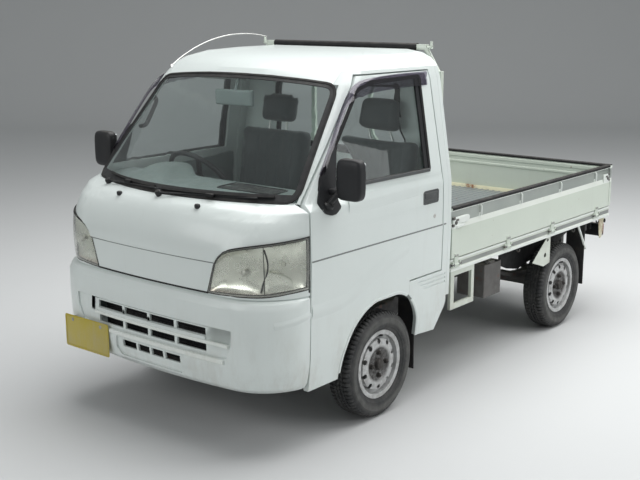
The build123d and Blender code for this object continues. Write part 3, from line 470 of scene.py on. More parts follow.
class Shape:
    """A mesh being drawn in the truck's millimetres."""

    def __init__(self):
        self.mesh = bmesh.new()

    def skin(self, rows, around=False, along=False):
        """Faces between rows of points. around closes each row, along joins the last row to the first."""
        made = [[self.mesh.verts.new(point) for point in row] for row in rows]
        count = len(rows[0])
        for i in range(len(rows) if along else len(rows) - 1):
            first, second = made[i], made[(i + 1) % len(made)]
            for j in range(count if around else count - 1):
                k = (j + 1) % count
                self.mesh.faces.new((first[j], first[k], second[k], second[j]))
        if around and not along:
            self.mesh.faces.new(list(reversed(made[0])))
            self.mesh.faces.new(made[-1])
        return self

    def thicken(self, thickness, upright=True):
        """Gives a sheet its thickness, with its faces turned alike first."""
        if upright:
            bmesh.ops.recalc_face_normals(self.mesh, faces=self.mesh.faces)
        bmesh.ops.solidify(self.mesh, geom=self.mesh.faces[:], thickness=thickness)
        return self

    def take(self, part, matrix=None):
        """Adds a finished part, moved by a matrix."""
        if matrix:
            bmesh.ops.transform(part, matrix=matrix, verts=part.verts)
        data = kept(part, "part")
        self.mesh.from_mesh(data)
        bpy.data.meshes.remove(data)
        return self

    def box(self, x, y, z, edge=2.0, turn=(0, 0, 0), segments=3):
        """A block with rounded edges between two values along each axis, turned about its middle."""
        part = bmesh.new()
        middle, size = extent(x, y, z)
        bmesh.ops.create_cube(part, size=1.0)
        bmesh.ops.scale(part, vec=size, verts=part.verts)
        bmesh.ops.bevel(part, geom=list(part.edges), offset=min(edge, 0.45 * min(size)), segments=segments,
                        profile=0.5, affect="EDGES")
        turns = [Matrix.Rotation(math.radians(angle), 4, axis) for angle, axis in zip(turn, "XYZ")]
        return self.take(part, Matrix.Translation(middle) @ turns[2] @ turns[1] @ turns[0])

    def plate(self, outline, low, high, axis="X", edge=1.0, segments=2):
        """An outline in the other two axes, thick from low to high along an axis."""
        part = bmesh.new()
        under, over = [[part.verts.new(placed_along(axis, a, b, c)) for a, b in outline] for c in (low, high)]
        part.faces.new(list(reversed(under)))
        part.faces.new(over)
        for i in range(len(outline)):
            k = (i + 1) % len(outline)
            part.faces.new((under[i], under[k], over[k], over[i]))
        bmesh.ops.recalc_face_normals(part, faces=part.faces)
        if edge:
            bmesh.ops.bevel(part, geom=list(part.edges), offset=edge, segments=segments, profile=0.5,
                            affect="EDGES")
        return self.take(part)

    def bar(self, section, low, high, axis):
        """A section in the other two axes, drawn straight from low to high along an axis."""
        rows = [[Vector(placed_along(axis, a, b, c)) for a, b in section] for c in (low, high)]
        return self.skin(rows, around=True)

    def tube(self, path, radius, closed=False, sides=14):
        """A round bar along a path."""
        rows = []
        angles = [2 * math.pi * i / sides for i in range(sides)]
        for point, ahead, up in carried(path, closed):
            across = ahead.cross(up)
            rows.append([point + (across * math.cos(a) + up * math.sin(a)) * radius for a in angles])
        return self.skin(rows, around=True, along=closed)

    def turned(self, profile, centre, axis=(1, 0, 0), steps=40, closed=False):
        """A knob, or with closed a ring, from a profile of radius and place along the axis."""
        axis = Vector(axis).normalized()
        first = axis.orthogonal().normalized()
        second = axis.cross(first)
        rows = []
        for i in range(steps):
            a = 2 * math.pi * i / steps
            out = first * math.cos(a) + second * math.sin(a)
            rows.append([Vector(centre) + axis * place + out * radius for radius, place in profile])
        return self.skin(rows, around=closed, along=True)

    def strip(self, laid, section, closed=False):
        """A section of across and out along a path of points, with one normal or a normal at each."""
        path, normals = laid
        path = [Vector(point) for point in path]
        if isinstance(normals, tuple):
            normals = [Vector(normals)] * len(path)
        rows = []
        for point, ahead, normal in zip(path, directions(path, closed), normals):
            across = ahead.cross(normal).normalized()
            rows.append([point + across * u + normal * v for u, v in section])
        return self.skin(rows, around=True, along=closed)

    def smooth_box(self, x, y, z, power, steps):
        """A pillow-like block whose section is a rounded square of that power."""
        middle, size = extent(x, y, z)
        part = bmesh.new()
        bmesh.ops.create_cube(part, size=2.0)
        bmesh.ops.subdivide_edges(part, edges=list(part.edges), cuts=steps // 2, use_grid_fill=True)
        for vert in part.verts:
            length = sum(abs(c) ** power for c in vert.co) ** (1 / power)
            vert.co = middle + Vector([c / length * h for c, h in zip(vert.co, size / 2)])
        return self.take(part)

    def metres(self, name, side="", shift=0):
        """The cleaned mesh as data in metres, moved along Y first, mirrored for the right side."""
        mesh = self.mesh
        bmesh.ops.remove_doubles(mesh, verts=mesh.verts, dist=0.01)
        bmesh.ops.recalc_face_normals(mesh, faces=mesh.faces)
        if side == "right":
            bmesh.ops.scale(mesh, vec=(-1, 1, 1), verts=mesh.verts)
            bmesh.ops.reverse_faces(mesh, faces=mesh.faces)
        if shift:
            bmesh.ops.translate(mesh, vec=(0, shift, 0), verts=mesh.verts)
        bmesh.ops.scale(mesh, vec=(0.001, 0.001, 0.001), verts=mesh.verts)
        return kept(mesh, name)

    def unit(self, name, crease=35):
        """The shape about its own origin, in metres, for copies to be made of it."""
        return bpy.data.objects.new(name, soften(self.metres(name), crease))

    def piece(self, name, finish, body="chassis", side="", replaces=(), crease=35, slot=None):
        """The shape as a finished piece on a body, on a side if one is named."""
        name, body = sided(name, body, side)
        data = soften(self.metres(name, side, -LENGTH / 2), crease)
        return give(into_scene(name, data), finish, body, slot, replaces)


def extent(x, y, z):
    """The middle and the size of a block between two values along each axis."""
    return Vector([sum(ends) for ends in (x, y, z)]) / 2, Vector([high - low for low, high in (x, y, z)])


def sided(name, body, side):
    """A piece's name and its body's, with their side's ending."""
    return (f"{name}_{side}" if side else name), (f"{body}_{side}" if body in SIDED_BODIES else body)


def directions(path, closed=False):
    """The direction of travel at each point of a path."""
    result = []
    for i in range(len(path)):
        before = path[i - 1] if i or closed else path[0]
        after = path[(i + 1) % len(path)] if i < len(path) - 1 or closed else path[-1]
        result.append((after - before).normalized())
    return result


def carried(path, closed):
    """Each point of a path with its direction and an upright that turns as little as it can."""
    path = [Vector(p) for p in path]
    ahead = directions(path, closed)
    up = ahead[0].orthogonal().normalized()
    for point, along in zip(path, ahead):
        up = (up - along * up.dot(along)).normalized()
        yield point, along, up


BEND_STEPS = 5


def rounded(corners, bend, closed=True):
    """A path whose corners are turned in curves that start bend before them."""
    corners = [Vector(c) for c in corners]
    result = []
    for i, corner in enumerate(corners):
        if not closed and i in (0, len(corners) - 1):
            result.append(corner)
            continue
        before, after = corners[i - 1], corners[(i + 1) % len(corners)]
        start = corner.lerp(before, min(0.45, bend / (before - corner).length))
        end = corner.lerp(after, min(0.45, bend / (after - corner).length))
        for k in range(BEND_STEPS + 1):
            t = k / BEND_STEPS
            result.append(start.lerp(corner, t).lerp(corner.lerp(end, t), t))
    return result


def oblong(a, b):
    """The four corners between two values each way."""
    return (a[0], b[0]), (a[1], b[0]), (a[1], b[1]), (a[0], b[1])


def spaced(path, step, closed=True):
    """The same path with points at most a step apart."""
    path = [Vector(p) for p in path]
    result = []
    for i in range(len(path) if closed else len(path) - 1):
        a, b = path[i], path[(i + 1) % len(path)]
        count = max(1, math.ceil((b - a).length / step))
        result += [a.lerp(b, k / count) for k in range(count)]
    return result if closed else result + [path[-1]]


def flowing(points, steps):
    """A smooth curve through points, in two or three dimensions."""
    points = [Vector(p) for p in points]
    result = []
    for i in range(len(points) - 1):
        p0, p1, p2, p3 = (points[max(0, min(len(points) - 1, i + k))] for k in (-1, 0, 1, 2))
        for k in range(steps):
            t = k / steps
            result.append(0.5 * ((2 * p1) + (p2 - p0) * t + (2 * p0 - 5 * p1 + 4 * p2 - p3) * t * t
                                 + (3 * p1 - p0 - 3 * p2 + p3) * t ** 3))
    return result + [points[-1]]


LAID_STEP = 30


class Surface:
    """The outside of some nodes, for trim to be laid on."""

    VIEWS = {
        # where a ray starts for a point a, b of the view, and its way
        "front": lambda a, b: ((a, -600, b), (0, 1, 0)),
        "left": lambda a, b: ((1500, a, b), (-1, 0, 0)),
        "rear": lambda a, b: ((a, 5000, b), (0, -1, 0)),
    }

    def __init__(self, *nodes):
        points, faces = [], []
        for node in nodes:
            data = frame["nodes"][node].data
            start = len(points)
            points += [drawn(vert.co) for vert in data.vertices]
            faces += [[start + i for i in polygon.vertices] for polygon in data.polygons]
        self.tree = BVHTree.FromPolygons(points, faces)

    def hit(self, start, ahead):
        """The first point that a ray meets, and the normal that looks back at its start, or None."""
        point, normal, _, _ = self.tree.ray_cast(Vector(start), Vector(ahead))
        if point is None:
            return None
        return point, (-normal if normal.dot(Vector(ahead)) > 0 else normal)

    def seen(self, view, a, b):
        """What a view of the surface shows at a point."""
        return self.hit(*self.VIEWS[view](a, b))

    def lay(self, outline, view, closed=False):
        """A flat outline laid on the surface, as seen in a view: its points and their normals."""
        hits = [self.seen(view, *point) for point in spaced(outline, LAID_STEP, closed)]
        hits = [found for found in hits if found]
        return [point for point, _ in hits], [normal for _, normal in hits]


def flat_section(width, height, sink=2.0, shift=0.0):
    """The section of a strip with rounded shoulders."""
    half, shoulder = width / 2, min(width, height) * 0.3
    points = [(-half, -sink), (-half, height - shoulder), (-half + shoulder, height),
              (half - shoulder, height), (half, height - shoulder), (half, -sink)]
    return [(u + shift, v) for u, v in points]


def ring_section(radius, sink=0.0):
    """A round section whose middle lies sink below the surface."""
    turns = [2 * math.pi * i / 8 for i in range(8)]
    return [(radius * math.cos(turn), radius * math.sin(turn) - sink) for turn in turns]


# Repeats: one node tree that sets copies of a unit along a line and turns each a little more


def repeat_tree():
    """The node tree, with its inputs for the unit, the line of copies, their turn and their finish."""
    tree = bpy.data.node_groups.new("repeat", "GeometryNodeTree")
    for label, kind in (("Unit", "Object"), ("Count", "Int"), ("Start", "Vector"), ("Step", "Vector"),
                        ("Turn", "Vector"), ("Finish", "Material")):
        tree.interface.new_socket(label, in_out="INPUT", socket_type="NodeSocket" + kind)
    tree.interface.new_socket("Geometry", in_out="OUTPUT", socket_type="NodeSocketGeometry")
    given, result, line, turn, index, unit, copies, realize, paint = (tree.nodes.new(kind) for kind in (
        "NodeGroupInput", "NodeGroupOutput", "GeometryNodeMeshLine", "ShaderNodeVectorMath",
        "GeometryNodeInputIndex", "GeometryNodeObjectInfo", "GeometryNodeInstanceOnPoints",
        "GeometryNodeRealizeInstances", "GeometryNodeSetMaterial"))
    line.mode = "OFFSET"
    turn.operation = "SCALE"
    for source, output, target, socket in (
        (given, "Count", line, "Count"),
        (given, "Start", line, "Start Location"),
        (given, "Step", line, "Offset"),
        (given, "Turn", turn, 0),
        (index, 0, turn, "Scale"),
        (given, "Unit", unit, "Object"),
        (line, "Mesh", copies, "Points"),
        (unit, "Geometry", copies, "Instance"),
        (turn, 0, copies, "Rotation"),
        (copies, "Instances", realize, "Geometry"),
        (realize, "Geometry", paint, "Geometry"),
        (given, "Finish", paint, "Material"),
        (paint, "Geometry", result, "Geometry"),
    ):
        tree.links.new(source.outputs[output], target.inputs[socket])
    return tree


REPEAT = repeat_tree()


def repeated(unit, count, start, step=(0, 0, 0), turn=(0, 0, 0), *, finish):
    """The mesh of copies of a unit. start and step are in drawn millimetres, turn in degrees a copy."""
    scene = bpy.context.scene.collection.objects
    host = into_scene("host", bpy.data.meshes.new("host"))
    scene.link(unit)
    modifier = host.modifiers.new("copies", "NODES")
    modifier.node_group = REPEAT
    given = {"Unit": unit, "Count": count, "Start": tuple(at(*start)), "Step": tuple(v / 1000 for v in step),
             "Turn": tuple(math.radians(v) for v in turn), "Finish": finish}
    for item in REPEAT.interface.items_tree:
        if item.in_out == "INPUT":
            modifier[item.identifier] = given[item.name]
    settle(host)
    data = host.data
    bpy.data.objects.remove(host)
    scene.unlink(unit)
    return data


def settle(thing):
    """Turns an object's modifiers into its plain mesh."""
    graph = bpy.context.evaluated_depsgraph_get()
    data = bpy.data.meshes.new_from_object(thing.evaluated_get(graph))
    thing.modifiers.clear()
    thing.data = data


def copies(name, unit, rows, finish, body="chassis", side=""):
    """Rows of copies of a unit as one piece. Each row is a count, a start and a step."""
    made = [repeated(unit, *row, finish=finish) for row in rows]
    data = made[0] if len(made) == 1 else joined(*made)
    name, body = sided(name, body, side)
    return give(into_scene(name, mirrored(data) if side == "right" else data), finish, body)


def joined(*meshes):
    """Several meshes as one."""
    mesh = bmesh.new()
    for data in meshes:
        mesh.from_mesh(data)
    return kept(mesh, "joined")


PANELS = (
    # nodes, finish, rounded edge in mm, and the slot where it isn't the finish's own
    (("front_panel", "cab_roof", "cab_back", "cab_side_left", "cab_side_right", "door_left", "door_right",
      "bumper"), WHITE, 1.5),
    (("side_gate_left", "side_gate_right", "tailgate"), GATE, 1.2),
    (("guard_frame", "bed_beams"), BED, 1.2),
    (("bed_floor",), SILL, 1.0),
    (("frame", "mudguards"), CHASSIS, 1.0),
    (("battery_box", "silencer", "fuel_tank"), DUSTY, 4.0),
    (("rear_axle", "rear_springs", "engine"), CAST, 1.0),
    (("front_suspension", "knuckle_left", "knuckle_right"), SOOT, 1.0),
    (("cab_floor", "dashboard"), DASH, 1.5),
    (("steering_wheel", "wipers"), PLASTIC, 1.0),
    (("interior_mirror",), DASH, 1.0, "black_plastic"),
    (("antenna",), PLATED, 0),
    (("cab_glass", "door_glass_left", "door_glass_right"), GLASS, 0),
)
for nodes, *look in PANELS:
    for node in nodes:
        panel(node, *look)


# The cab's outside

WINDOW = [(392, 1170), (1246, 1170), (1246, 1632), (860, 1624), (745, 1594), (420, 1228)]
SCREEN = [(-655, 1132), (655, 1132), (574, 1612), (400, 1628), (200, 1639), (0, 1642), (-200, 1639),
          (-400, 1628), (-574, 1612)]
BACK_WINDOW = [(440, 1215), (-440, 1215), (-415, 1560), (415, 1560)]
DOOR_FRONT_Y, DOOR_REAR_Y, DOOR_FOOT_REAR_Y = 303, 1343, 1060
CAB_BACK_Y = 1423
WIPERS = (((-488, 1158), (-62, 1146)), ((-10, 1143), (560, 1150)))
GRILLE_LIPS = (
    # height, low and high X, how far it stands out, half its width
    (522, -385, 500, 1, 8),
    (448, -272, 474, 5, 10),
)
GRILLE_TOP_Z = 612
front_skin = Surface("front_panel", "cab_glass", "cab_roof", "cab_side_left", "cab_side_right", "door_left",
                     "door_right", "headlights", "bumper")
left_skin = Surface("door_left", "cab_side_left", "front_panel", "bumper")


def screen_trim():
    """The windscreen's black border and rubber, and the rear window's rubber."""
    laid = front_skin.lay(rounded(SCREEN, 60), "front", closed=True)
    Shape().strip(laid, flat_section(26, 1.6, 4, -10), closed=True).piece("screen_border", PLASTIC)
    foot = front_skin.lay([(-632, 1150), (632, 1150)], "front")
    Shape().strip(foot, flat_section(34, 1.8, 4)).piece("screen_foot", PLASTIC)
    Shape().strip(laid, flat_section(13, 4.5, 4, 2), closed=True).piece("screen_rubber", RUBBER)
    rear = Surface("cab_back", "cab_glass").lay(rounded(BACK_WINDOW, 45), "rear", closed=True)
    Shape().strip(rear, flat_section(30, 5, 22, 0), closed=True).piece("rear_window_rubber", RUBBER)


def wiper_details():
    """Blades, pivot caps and washer nozzles."""
    for index, ends in enumerate(WIPERS):
        laid = front_skin.lay(flowing(ends, 8), "front")
        blade = Shape().strip(laid, [(-3, -1), (-5, 4), (-7, 9), (-5, 14), (5, 14), (7, 9), (5, 4), (3, -1)])
        middle = laid[0][len(laid[0]) // 2]
        blade.box(about(middle.x, 22), (middle.y - 26, middle.y - 8), about(middle.z, 8), 3)
        blade.piece(f"wiper_blade_{index + 1}", RUBBER)
    caps, nozzles = Shape(), Shape()
    for x in (-452, -5):
        point, _ = front_skin.seen("front", x, COWL_Z - 4)
        caps.turned([(0, -4), (15, -4), (15, 10), (11, 16), (0, 18)], point + Vector((0, -10, 6)),
                    (0, -0.55, 0.83), 24)
    caps.piece("wiper_caps", PLASTIC)
    for x in (-261, 261):
        point, _ = front_skin.seen("front", x, 1101)
        nozzles.smooth_box(about(x, 13), (point.y - 14, point.y + 8), (1093, 1116), 3.0, 10)
    nozzles.piece("washer_nozzles", PLASTIC)


def crease_lines():
    """Painted shadows along the pressed line across the nose and along both sides, and the seal above the
    bumper.
    """
    section = [(-3.5, -2), (-3.5, 0.25), (3.5, 0.25), (3.5, -2)]
    laid = front_skin.lay([(-412, CREASE_Z - 3), (412, CREASE_Z - 3)], "front")
    Shape().strip(laid, section).piece("nose_crease", SHADOW_LINE)
    laid = front_skin.lay([(-372, 742), (372, 742)], "front")
    Shape().strip(laid, [(-4, -3), (-4, 1.2), (4, 1.2), (4, -3)]).piece("bumper_seal", RUBBER)
    # The lips take the lighter paint, a painted highlight where they catch the light.
    for z, low, high, out, half in GRILLE_LIPS:
        face, _ = front_skin.lay([(low, GRILLE_TOP_Z), (high, GRILLE_TOP_Z)], "front")
        path = [(p.x, p.y - out, z) for p in face]
        lip = [(-half, -16), (-half, -2), (3 - half, 1), (half - 3, 1), (half, -2), (half, -16)]
        Shape().strip((path, (0, -1, 0)), lip).piece(f"grille_lip_{z}", HIGHLIT_PAINT, slot="white_paint")
    for side in SIDES:
        for start, end, body, part in ((DOOR_FRONT_Y + 4, DOOR_REAR_Y - 2, "door", "door"),
                                       (DOOR_REAR_Y + 9, CAB_BACK_Y - 3, "chassis", "pillar")):
            laid = left_skin.lay([(start, CREASE_Z - 3), (end, CREASE_Z - 3)], "left")
            Shape().strip(laid, section).piece(part + "_crease", SHADOW_LINE, body, side)


SWELL = [(-42, -0.6), (-28, 0.7), (-14, 3.3), (0, 4.8), (14, 3.3), (28, 0.7), (42, -0.6), (0, -2)]
HALF_SWELL = [(u * 0.5, v) for u, v in SWELL]
FLARES = (
    # name, body, section, and the line it follows on the left
    ("door_flare", "door", SWELL, [(310, 655), (400, 652), (511, 656), (590, 672), (661, 699), (760, 738),
                                   (858, 775), (960, 805), (1040, 822)]),
    ("door_shoulder", "door", SWELL, [(570, 1088), (800, 1093), (1100, 1096), (1336, 1098)]),
    ("bumper_flare", "chassis", HALF_SWELL, [(112, 628), (160, 634), (230, 642), (294, 652)]),
)
SAIL = [(378, 1136), (376, 1108), (398, 1082), (440, 1068), (474, 1070), (506, 1092), (512, 1124),
        (506, 1180), (546, 1358), (534, 1366), (424, 1238), (400, 1196)]


def door_trim(side):
    """One door's window rubber, channel, sill strip, pressed flares and the mirror's sail."""
    laid = on_flank(spaced(rounded(WINDOW, 16), 40))
    rubber = Shape().strip(laid, flat_section(18, 2.6, 12, -5), closed=True)
    rubber.piece("window_rubber", RUBBER, "door", side)
    channel = on_flank([(1219, z) for z in (1176, 1300, 1450, 1628)])
    Shape().strip(channel, flat_section(32, -1.0, 12)).piece("window_channel", PLASTIC, "door", side)
    sill = on_flank([(y, 1170) for y in (478, 800, 1100, 1238)])
    Shape().strip(sill, flat_section(17, 6, 4, -3)).piece("sill_strip", GREY_PLASTIC, "door", side)
    for name, body, section, line in FLARES:
        laid = left_skin.lay(flowing(line, 4), "left")
        Shape().strip(laid, section).piece(name, WHITE, body, side, crease=80)
    sail = Shape().plate(rounded(SAIL, 9), 0, 10, edge=0)
    for vert in sail.mesh.verts:
        vert.co.x += skin_x(vert.co.y, vert.co.z) - 4
    sail.piece("mirror_sail", PLASTIC, "door", side)


FLANK_ROWS = (
    # height, then the flank's x and y where it starts behind the pillar, and its x at the cab's back
    (COWL_Z, 706, 352, 728),
    (1380, 672, 566, 686),
    (1614, 634, 770, 648),
    (1672, 612, 826, 628),
)


def flank_x(y, z):
    """How far out the cab's leaning flank is above the cowl, over its window too."""
    for low, high in zip(FLANK_ROWS, FLANK_ROWS[1:]):
        if z <= high[0] or high is FLANK_ROWS[-1]:
            t = (z - low[0]) / (high[0] - low[0])
            front_x, front_y, back_x = (a + (b - a) * t for a, b in zip(low[1:], high[1:]))
            share = clamped((y - front_y) / (CAB_BACK_Y - front_y))
            return front_x + (back_x - front_x) * share


def on_flank(points):
    """A path of Y and Z laid on the cab's leaning flank, with its normals."""
    laid = [Vector((flank_x(y, z), y, z)) for y, z in points]
    normals = [Vector((flank_x(y, z - 20) - flank_x(y, z + 20), 0, 0)) for y, z in points]
    return laid, [Vector((40, 0, n.x)).normalized() for n in normals]


def skin_x(y, z):
    """How far out the door's skin is, below the window or beside it."""
    if z > COWL_Z + 20:
        return flank_x(y, z)
    found = left_skin.seen("left", y, z)
    return found[0].x if found else 735


VISOR_PATH = [(417, 1246), (486, 1337), (559, 1437), (633, 1531), (689, 1586), (743, 1616), (829, 1632),
              (975, 1640), (1124, 1644), (1318, 1645)]


def visor(side):
    """The smoked rain visor over a door's window."""
    path = flowing(VISOR_PATH, 5)
    rows = []
    for i, (point, along) in enumerate(zip(path, directions(path))):
        share = i / (len(path) - 1)
        width = 19 + 43 * clamped((share - 0.34) / 0.22)
        inward = Vector((along.y, -along.x))
        base = flank_x(point.x, point.y)
        end = math.sin(math.pi * clamped(share)) ** 0.25
        row = []
        for reach, out in ((-3, 1.0), (0.1 * width, 6.0), (0.3 * width, 12.0), (0.6 * width, 17.0),
                           (width, 20.0)):
            y, z = point + inward * reach
            row.append(Vector((base + out * (0.35 + 0.65 * end) * min(1.0, width / 40) + 0.09 * reach, y, z)))
        rows.append(row)
    Shape().skin(rows).thicken(2.2).piece("door_visor", SMOKED, "door", side, crease=50)


HANDLE_Y, HANDLE_Z = (1168, 1300), (1007, 1073)
LOCK_Y, LOCK_Z = 1267, 938


def handle(side):
    """The black pull in its pocket, and the lock under it."""
    x = left_skin.seen("left", 1320, 1040)[0].x
    (front, rear), (foot, top) = HANDLE_Y, HANDLE_Z
    middle_z = (foot + top) / 2
    cup = Shape().box((x - 13, x + 0.8), (front + 3, rear - 3), (foot + 3, top - 3), 2)
    ring = rounded([(x + 0.5, y, z) for y, z in oblong(HANDLE_Y, HANDLE_Z)], 14)
    cup.strip((ring, (1, 0, 0)), flat_section(7, 1.6, 12, -2), closed=True)
    cup.box(about(x, 4), (front + 12, rear - 12), (middle_z - 4, top - 10), 3.5)
    cup.box((x - 4, x + 1.8), (front + 16, rear - 16), (foot + 10, middle_z - 12), 1.5)
    cup.piece("door_handle", GREY_PLASTIC, "door", side)
    lock_x = left_skin.seen("left", LOCK_Y, LOCK_Z)[0].x
    lock = Shape().turned([(0, -3), (11, -3), (11, 1.2), (9, 2.4), (6, 2.4), (5, 1.4), (0, 1.4)],
                          (lock_x, LOCK_Y, LOCK_Z), steps=28)
    lock.box((x - 1, x + 2.2), about(LOCK_Y, 2), about(LOCK_Z, 6), 0.6)
    lock.piece("door_lock", PLATED, "door", side)


def door_mirror(side):
    """The mirror's foot, arm, rounded head and glass."""
    head = Shape().smooth_box((750, 885), (444, 503), (1138, 1322), 5.0, 20)
    head.box((700, 772), (452, 482), (1156, 1182), 9)
    head.tube(flowing([(728, 430, 1118), (745, 440, 1140), (762, 462, 1166), (790, 470, 1172)], 5), 13)
    head.turned([(0, 0), (26, 0), (26, 12), (20, 18), (0, 18)], (726, 428, 1108), (0.4, 0.1, 0.9), 24)
    head.piece("mirror_body", PLASTIC, "door", side, (f"mirror_{side}",))
    glass = rounded([(762, 1152), (874, 1152), (876, 1308), (760, 1308)], 18)
    Shape().plate(glass, 500.5, 504, "Y", 0.8).piece("mirror_pane", MIRROR, "door", side)


ARCH_POINTS = ((515, 286), (612, 519), (790, 611), (950, 611), (1085, 548), (1143, 420), (1143, 346))


def three_point_arc(a, b, c, steps):
    """Points along the arc from a through b to c."""
    a, b, c = Vector(a), Vector(b), Vector(c)
    u, v = b - a, c - a
    cross = 2 * (u.x * v.y - u.y * v.x)
    middle = a + Vector((v.y * u.length_squared - u.y * v.length_squared,
                         u.x * v.length_squared - v.x * u.length_squared)) / cross
    start = math.atan2(a.y - middle.y, a.x - middle.x)
    end = math.atan2(c.y - middle.y, c.x - middle.x)
    if start < end:
        start += 2 * math.pi
    radius = (a - middle).length
    return [middle + Vector((math.cos(t), math.sin(t))) * radius
            for t in [start + (end - start) * i / steps for i in range(steps + 1)]]


ARCH = three_point_arc(*ARCH_POINTS[:3], 16) + three_point_arc(*ARCH_POINTS[3:6], 12)
ARCH.append(Vector(ARCH_POINTS[6]))
ARCH_LIPS = (
    # name, body, and the range of Y that it follows
    ("door_arch_lip", "door", 514, DOOR_FOOT_REAR_Y - 2),
    ("side_arch_lip", "chassis", DOOR_FOOT_REAR_Y + 8, 1144),
)


def arch_x(z):
    """How far out the edge of the wheel opening is."""
    return 736 if z > 735 else 731 + 5 * clamped((z - 440) / 295) - 0.1 * max(0, 440 - z)


def arch_lips(side):
    """The rolled edge of the wheel opening, split where the door ends."""
    section = [(-3, -8), (-3, 1), (-1, 2.6), (4, 3.0), (9, 2.0), (13, 0.4), (14, -3)]
    for name, body, low, high in ARCH_LIPS:
        path = [(arch_x(z), y, z) for y, z in spaced(ARCH, 30, closed=False) if low <= y <= high and z > 292]
        Shape().strip((path, (1, 0, 0)), section).piece(name, WHITE, body, side)


LAMP_TOP = flowing([(407, 33, 872), (433, 33, 912), (466, 36, 938), (508, 43, 954), (570, 64, 968),
                    (626, 98, 978), (684, 159, 987), (725, 236, 995), (737, 291, 998)], 4)
LAMP_LOW = flowing([(366, 33, 742), (400, 35, 742), (440, 39, 743), (500, 46, 745), (560, 60, 747),
                    (629, 101, 748), (682, 157, 754), (724, 236, 763), (737, 291, 766)], 4)
LAMP_DIVIDER = [(636, 111, 958), (645, 116, 925), (649, 119, 892), (645, 120, 862), (636, 116, 835),
                (626, 110, 800), (620, 104, 768)]
LAMP_BULB, LAMP_BULB_WAY = (548, 98, 850), (-0.22, -0.97, 0)
# How far in from the lamp's outline, as a share of it, and how far behind the face
LENS_PLACE = (0.012, -1.0)
HOUSING_PLACES = ((0.0, 3), (0.036, 9), (0.05, 58))
BOWL_STEPS, FACE_STEPS = 16, 40
LAMP_BOWLS = (
    # name, shares of the lamp's length and height that it covers, depth, power, distance behind the face
    ("lamp_bowl", (0.042, 0.642), 0.055, lambda u: 0.945, 36, 2.4, 12),
    ("turn_bowl", (0.646, 0.962), 0.055, lambda u: 0.945, 26, 2.2, 12),
    ("side_bowl", (0.65, 0.84), 0.07, lambda u: 0.12 + 0.36 * math.sqrt(max(0, 1 - ((u - 0.65) / 0.19) ** 2)),
     12, 2.2, 9),
)


def outward(ahead):
    """The way out of the lamp's face where its outline goes ahead."""
    return Vector((-ahead.y, ahead.x, 0)).normalized() * -1


def lamp_grid(inset, depth, steps=10):
    """Points over the lamp's face, drawn in from its outline and set back from its lens."""
    rows = []
    count = len(LAMP_TOP)
    for i in range(count):
        u = inset + (1 - 2 * inset) * i / (count - 1)
        place = u * (count - 1)
        k = min(int(place), count - 2)
        upper, lower = (line[k].lerp(line[k + 1], place - k) for line in (LAMP_TOP, LAMP_LOW))
        out = outward((LAMP_TOP[min(k + 2, count - 1)] - LAMP_TOP[max(k - 1, 0)]).normalized())
        row = []
        for j in range(steps + 1):
            v = inset * 1.3 + (1 - 2.6 * inset) * j / steps
            swell = 7 * math.sin(math.pi * v) * math.sin(math.pi * clamped(u)) ** 0.4
            row.append(lower.lerp(upper, v) + out * (swell - depth))
        rows.append(row)
    return rows


def border(grid):
    """The points round a grid's edge, in order."""
    first, *_, last = grid
    return first[::-1] + [row[0] for row in grid[1:]] + last[1:] + [row[-1] for row in grid[-2:0:-1]]


def lamp_bowl(span, v_low, v_high, depth, power, back):
    """A reflector between shares of the lamp's length and height, deepest at its middle."""
    rows = []
    source = lamp_grid(0.0, back, FACE_STEPS)
    count = len(source) - 1
    for i in range(BOWL_STEPS + 1):
        u = span[0] + (span[1] - span[0]) * i / BOWL_STEPS
        place = u * count
        k = min(int(place), count - 1)
        row = []
        for j in range(BOWL_STEPS + 1):
            v = v_low + (v_high(u) - v_low) * j / BOWL_STEPS
            t = min(FACE_STEPS - 1, int(v * FACE_STEPS))
            front, rear = (source[k][n].lerp(source[k + 1][n], place - k) for n in (t, t + 1))
            a, b = 2 * i / BOWL_STEPS - 1, 2 * j / BOWL_STEPS - 1
            hollow = max(0.0, 1 - abs(a) ** power) * max(0.0, 1 - abs(b) ** power)
            out = outward((source[k + 1][t] - source[k][t]).normalized())
            row.append(front.lerp(rear, v * FACE_STEPS - t) - out * hollow ** 0.6 * depth)
        rows.append(row)
    return rows


def headlamp(side):
    """The lamp behind its smooth lens: housing, gasket, three bowls, divider and bulbs."""
    lens = Shape().skin(lamp_grid(*LENS_PLACE)).thicken(2.5)
    lens.piece("lamp_lens", LENS, side=side, replaces=("headlights",), crease=50)
    ring, inner, deep = (border(lamp_grid(*place)) for place in HOUSING_PLACES)
    housing = Shape().skin([row + row[:1] for row in (ring, inner, deep)])
    bmesh.ops.remove_doubles(housing.mesh, verts=housing.mesh.verts, dist=0.01)
    housing.thicken(1.2).piece("lamp_housing", LAMP_GREY, side=side)
    seal = Shape().tube(spaced(ring, 14), 2.6, closed=True, sides=8)
    seal.tube(spaced(inner, 14), 1.7, closed=True, sides=8).piece("lamp_gasket", RUBBER, side=side)
    for name, *form in LAMP_BOWLS:
        bowl = Shape().skin(lamp_bowl(*form)).thicken(1.5, upright=False)
        bowl.piece(name, REFLECTOR, side=side, crease=60)
    bar = Shape().tube(flowing(LAMP_DIVIDER, 4), 3.6, sides=8)
    bar.piece("lamp_divider", PLASTIC, side=side, slot="lamp_lens")
    bulb = Shape()
    for profile in ([(0, -24), (9, -24), (11, -8), (12, 4), (9, 14), (0, 17)],
                    [(0, 14), (15, 14), (16, 20), (10, 26), (0, 27)]):
        bulb.turned(profile, LAMP_BULB, LAMP_BULB_WAY, 24)
    bulb.piece("lamp_bulb", PLATED, side=side, slot="lamp_lens")
    Shape().smooth_box((668, 690), (176, 196), (878, 900), 2.2, 12).piece("turn_bulb", LENS, side=side)


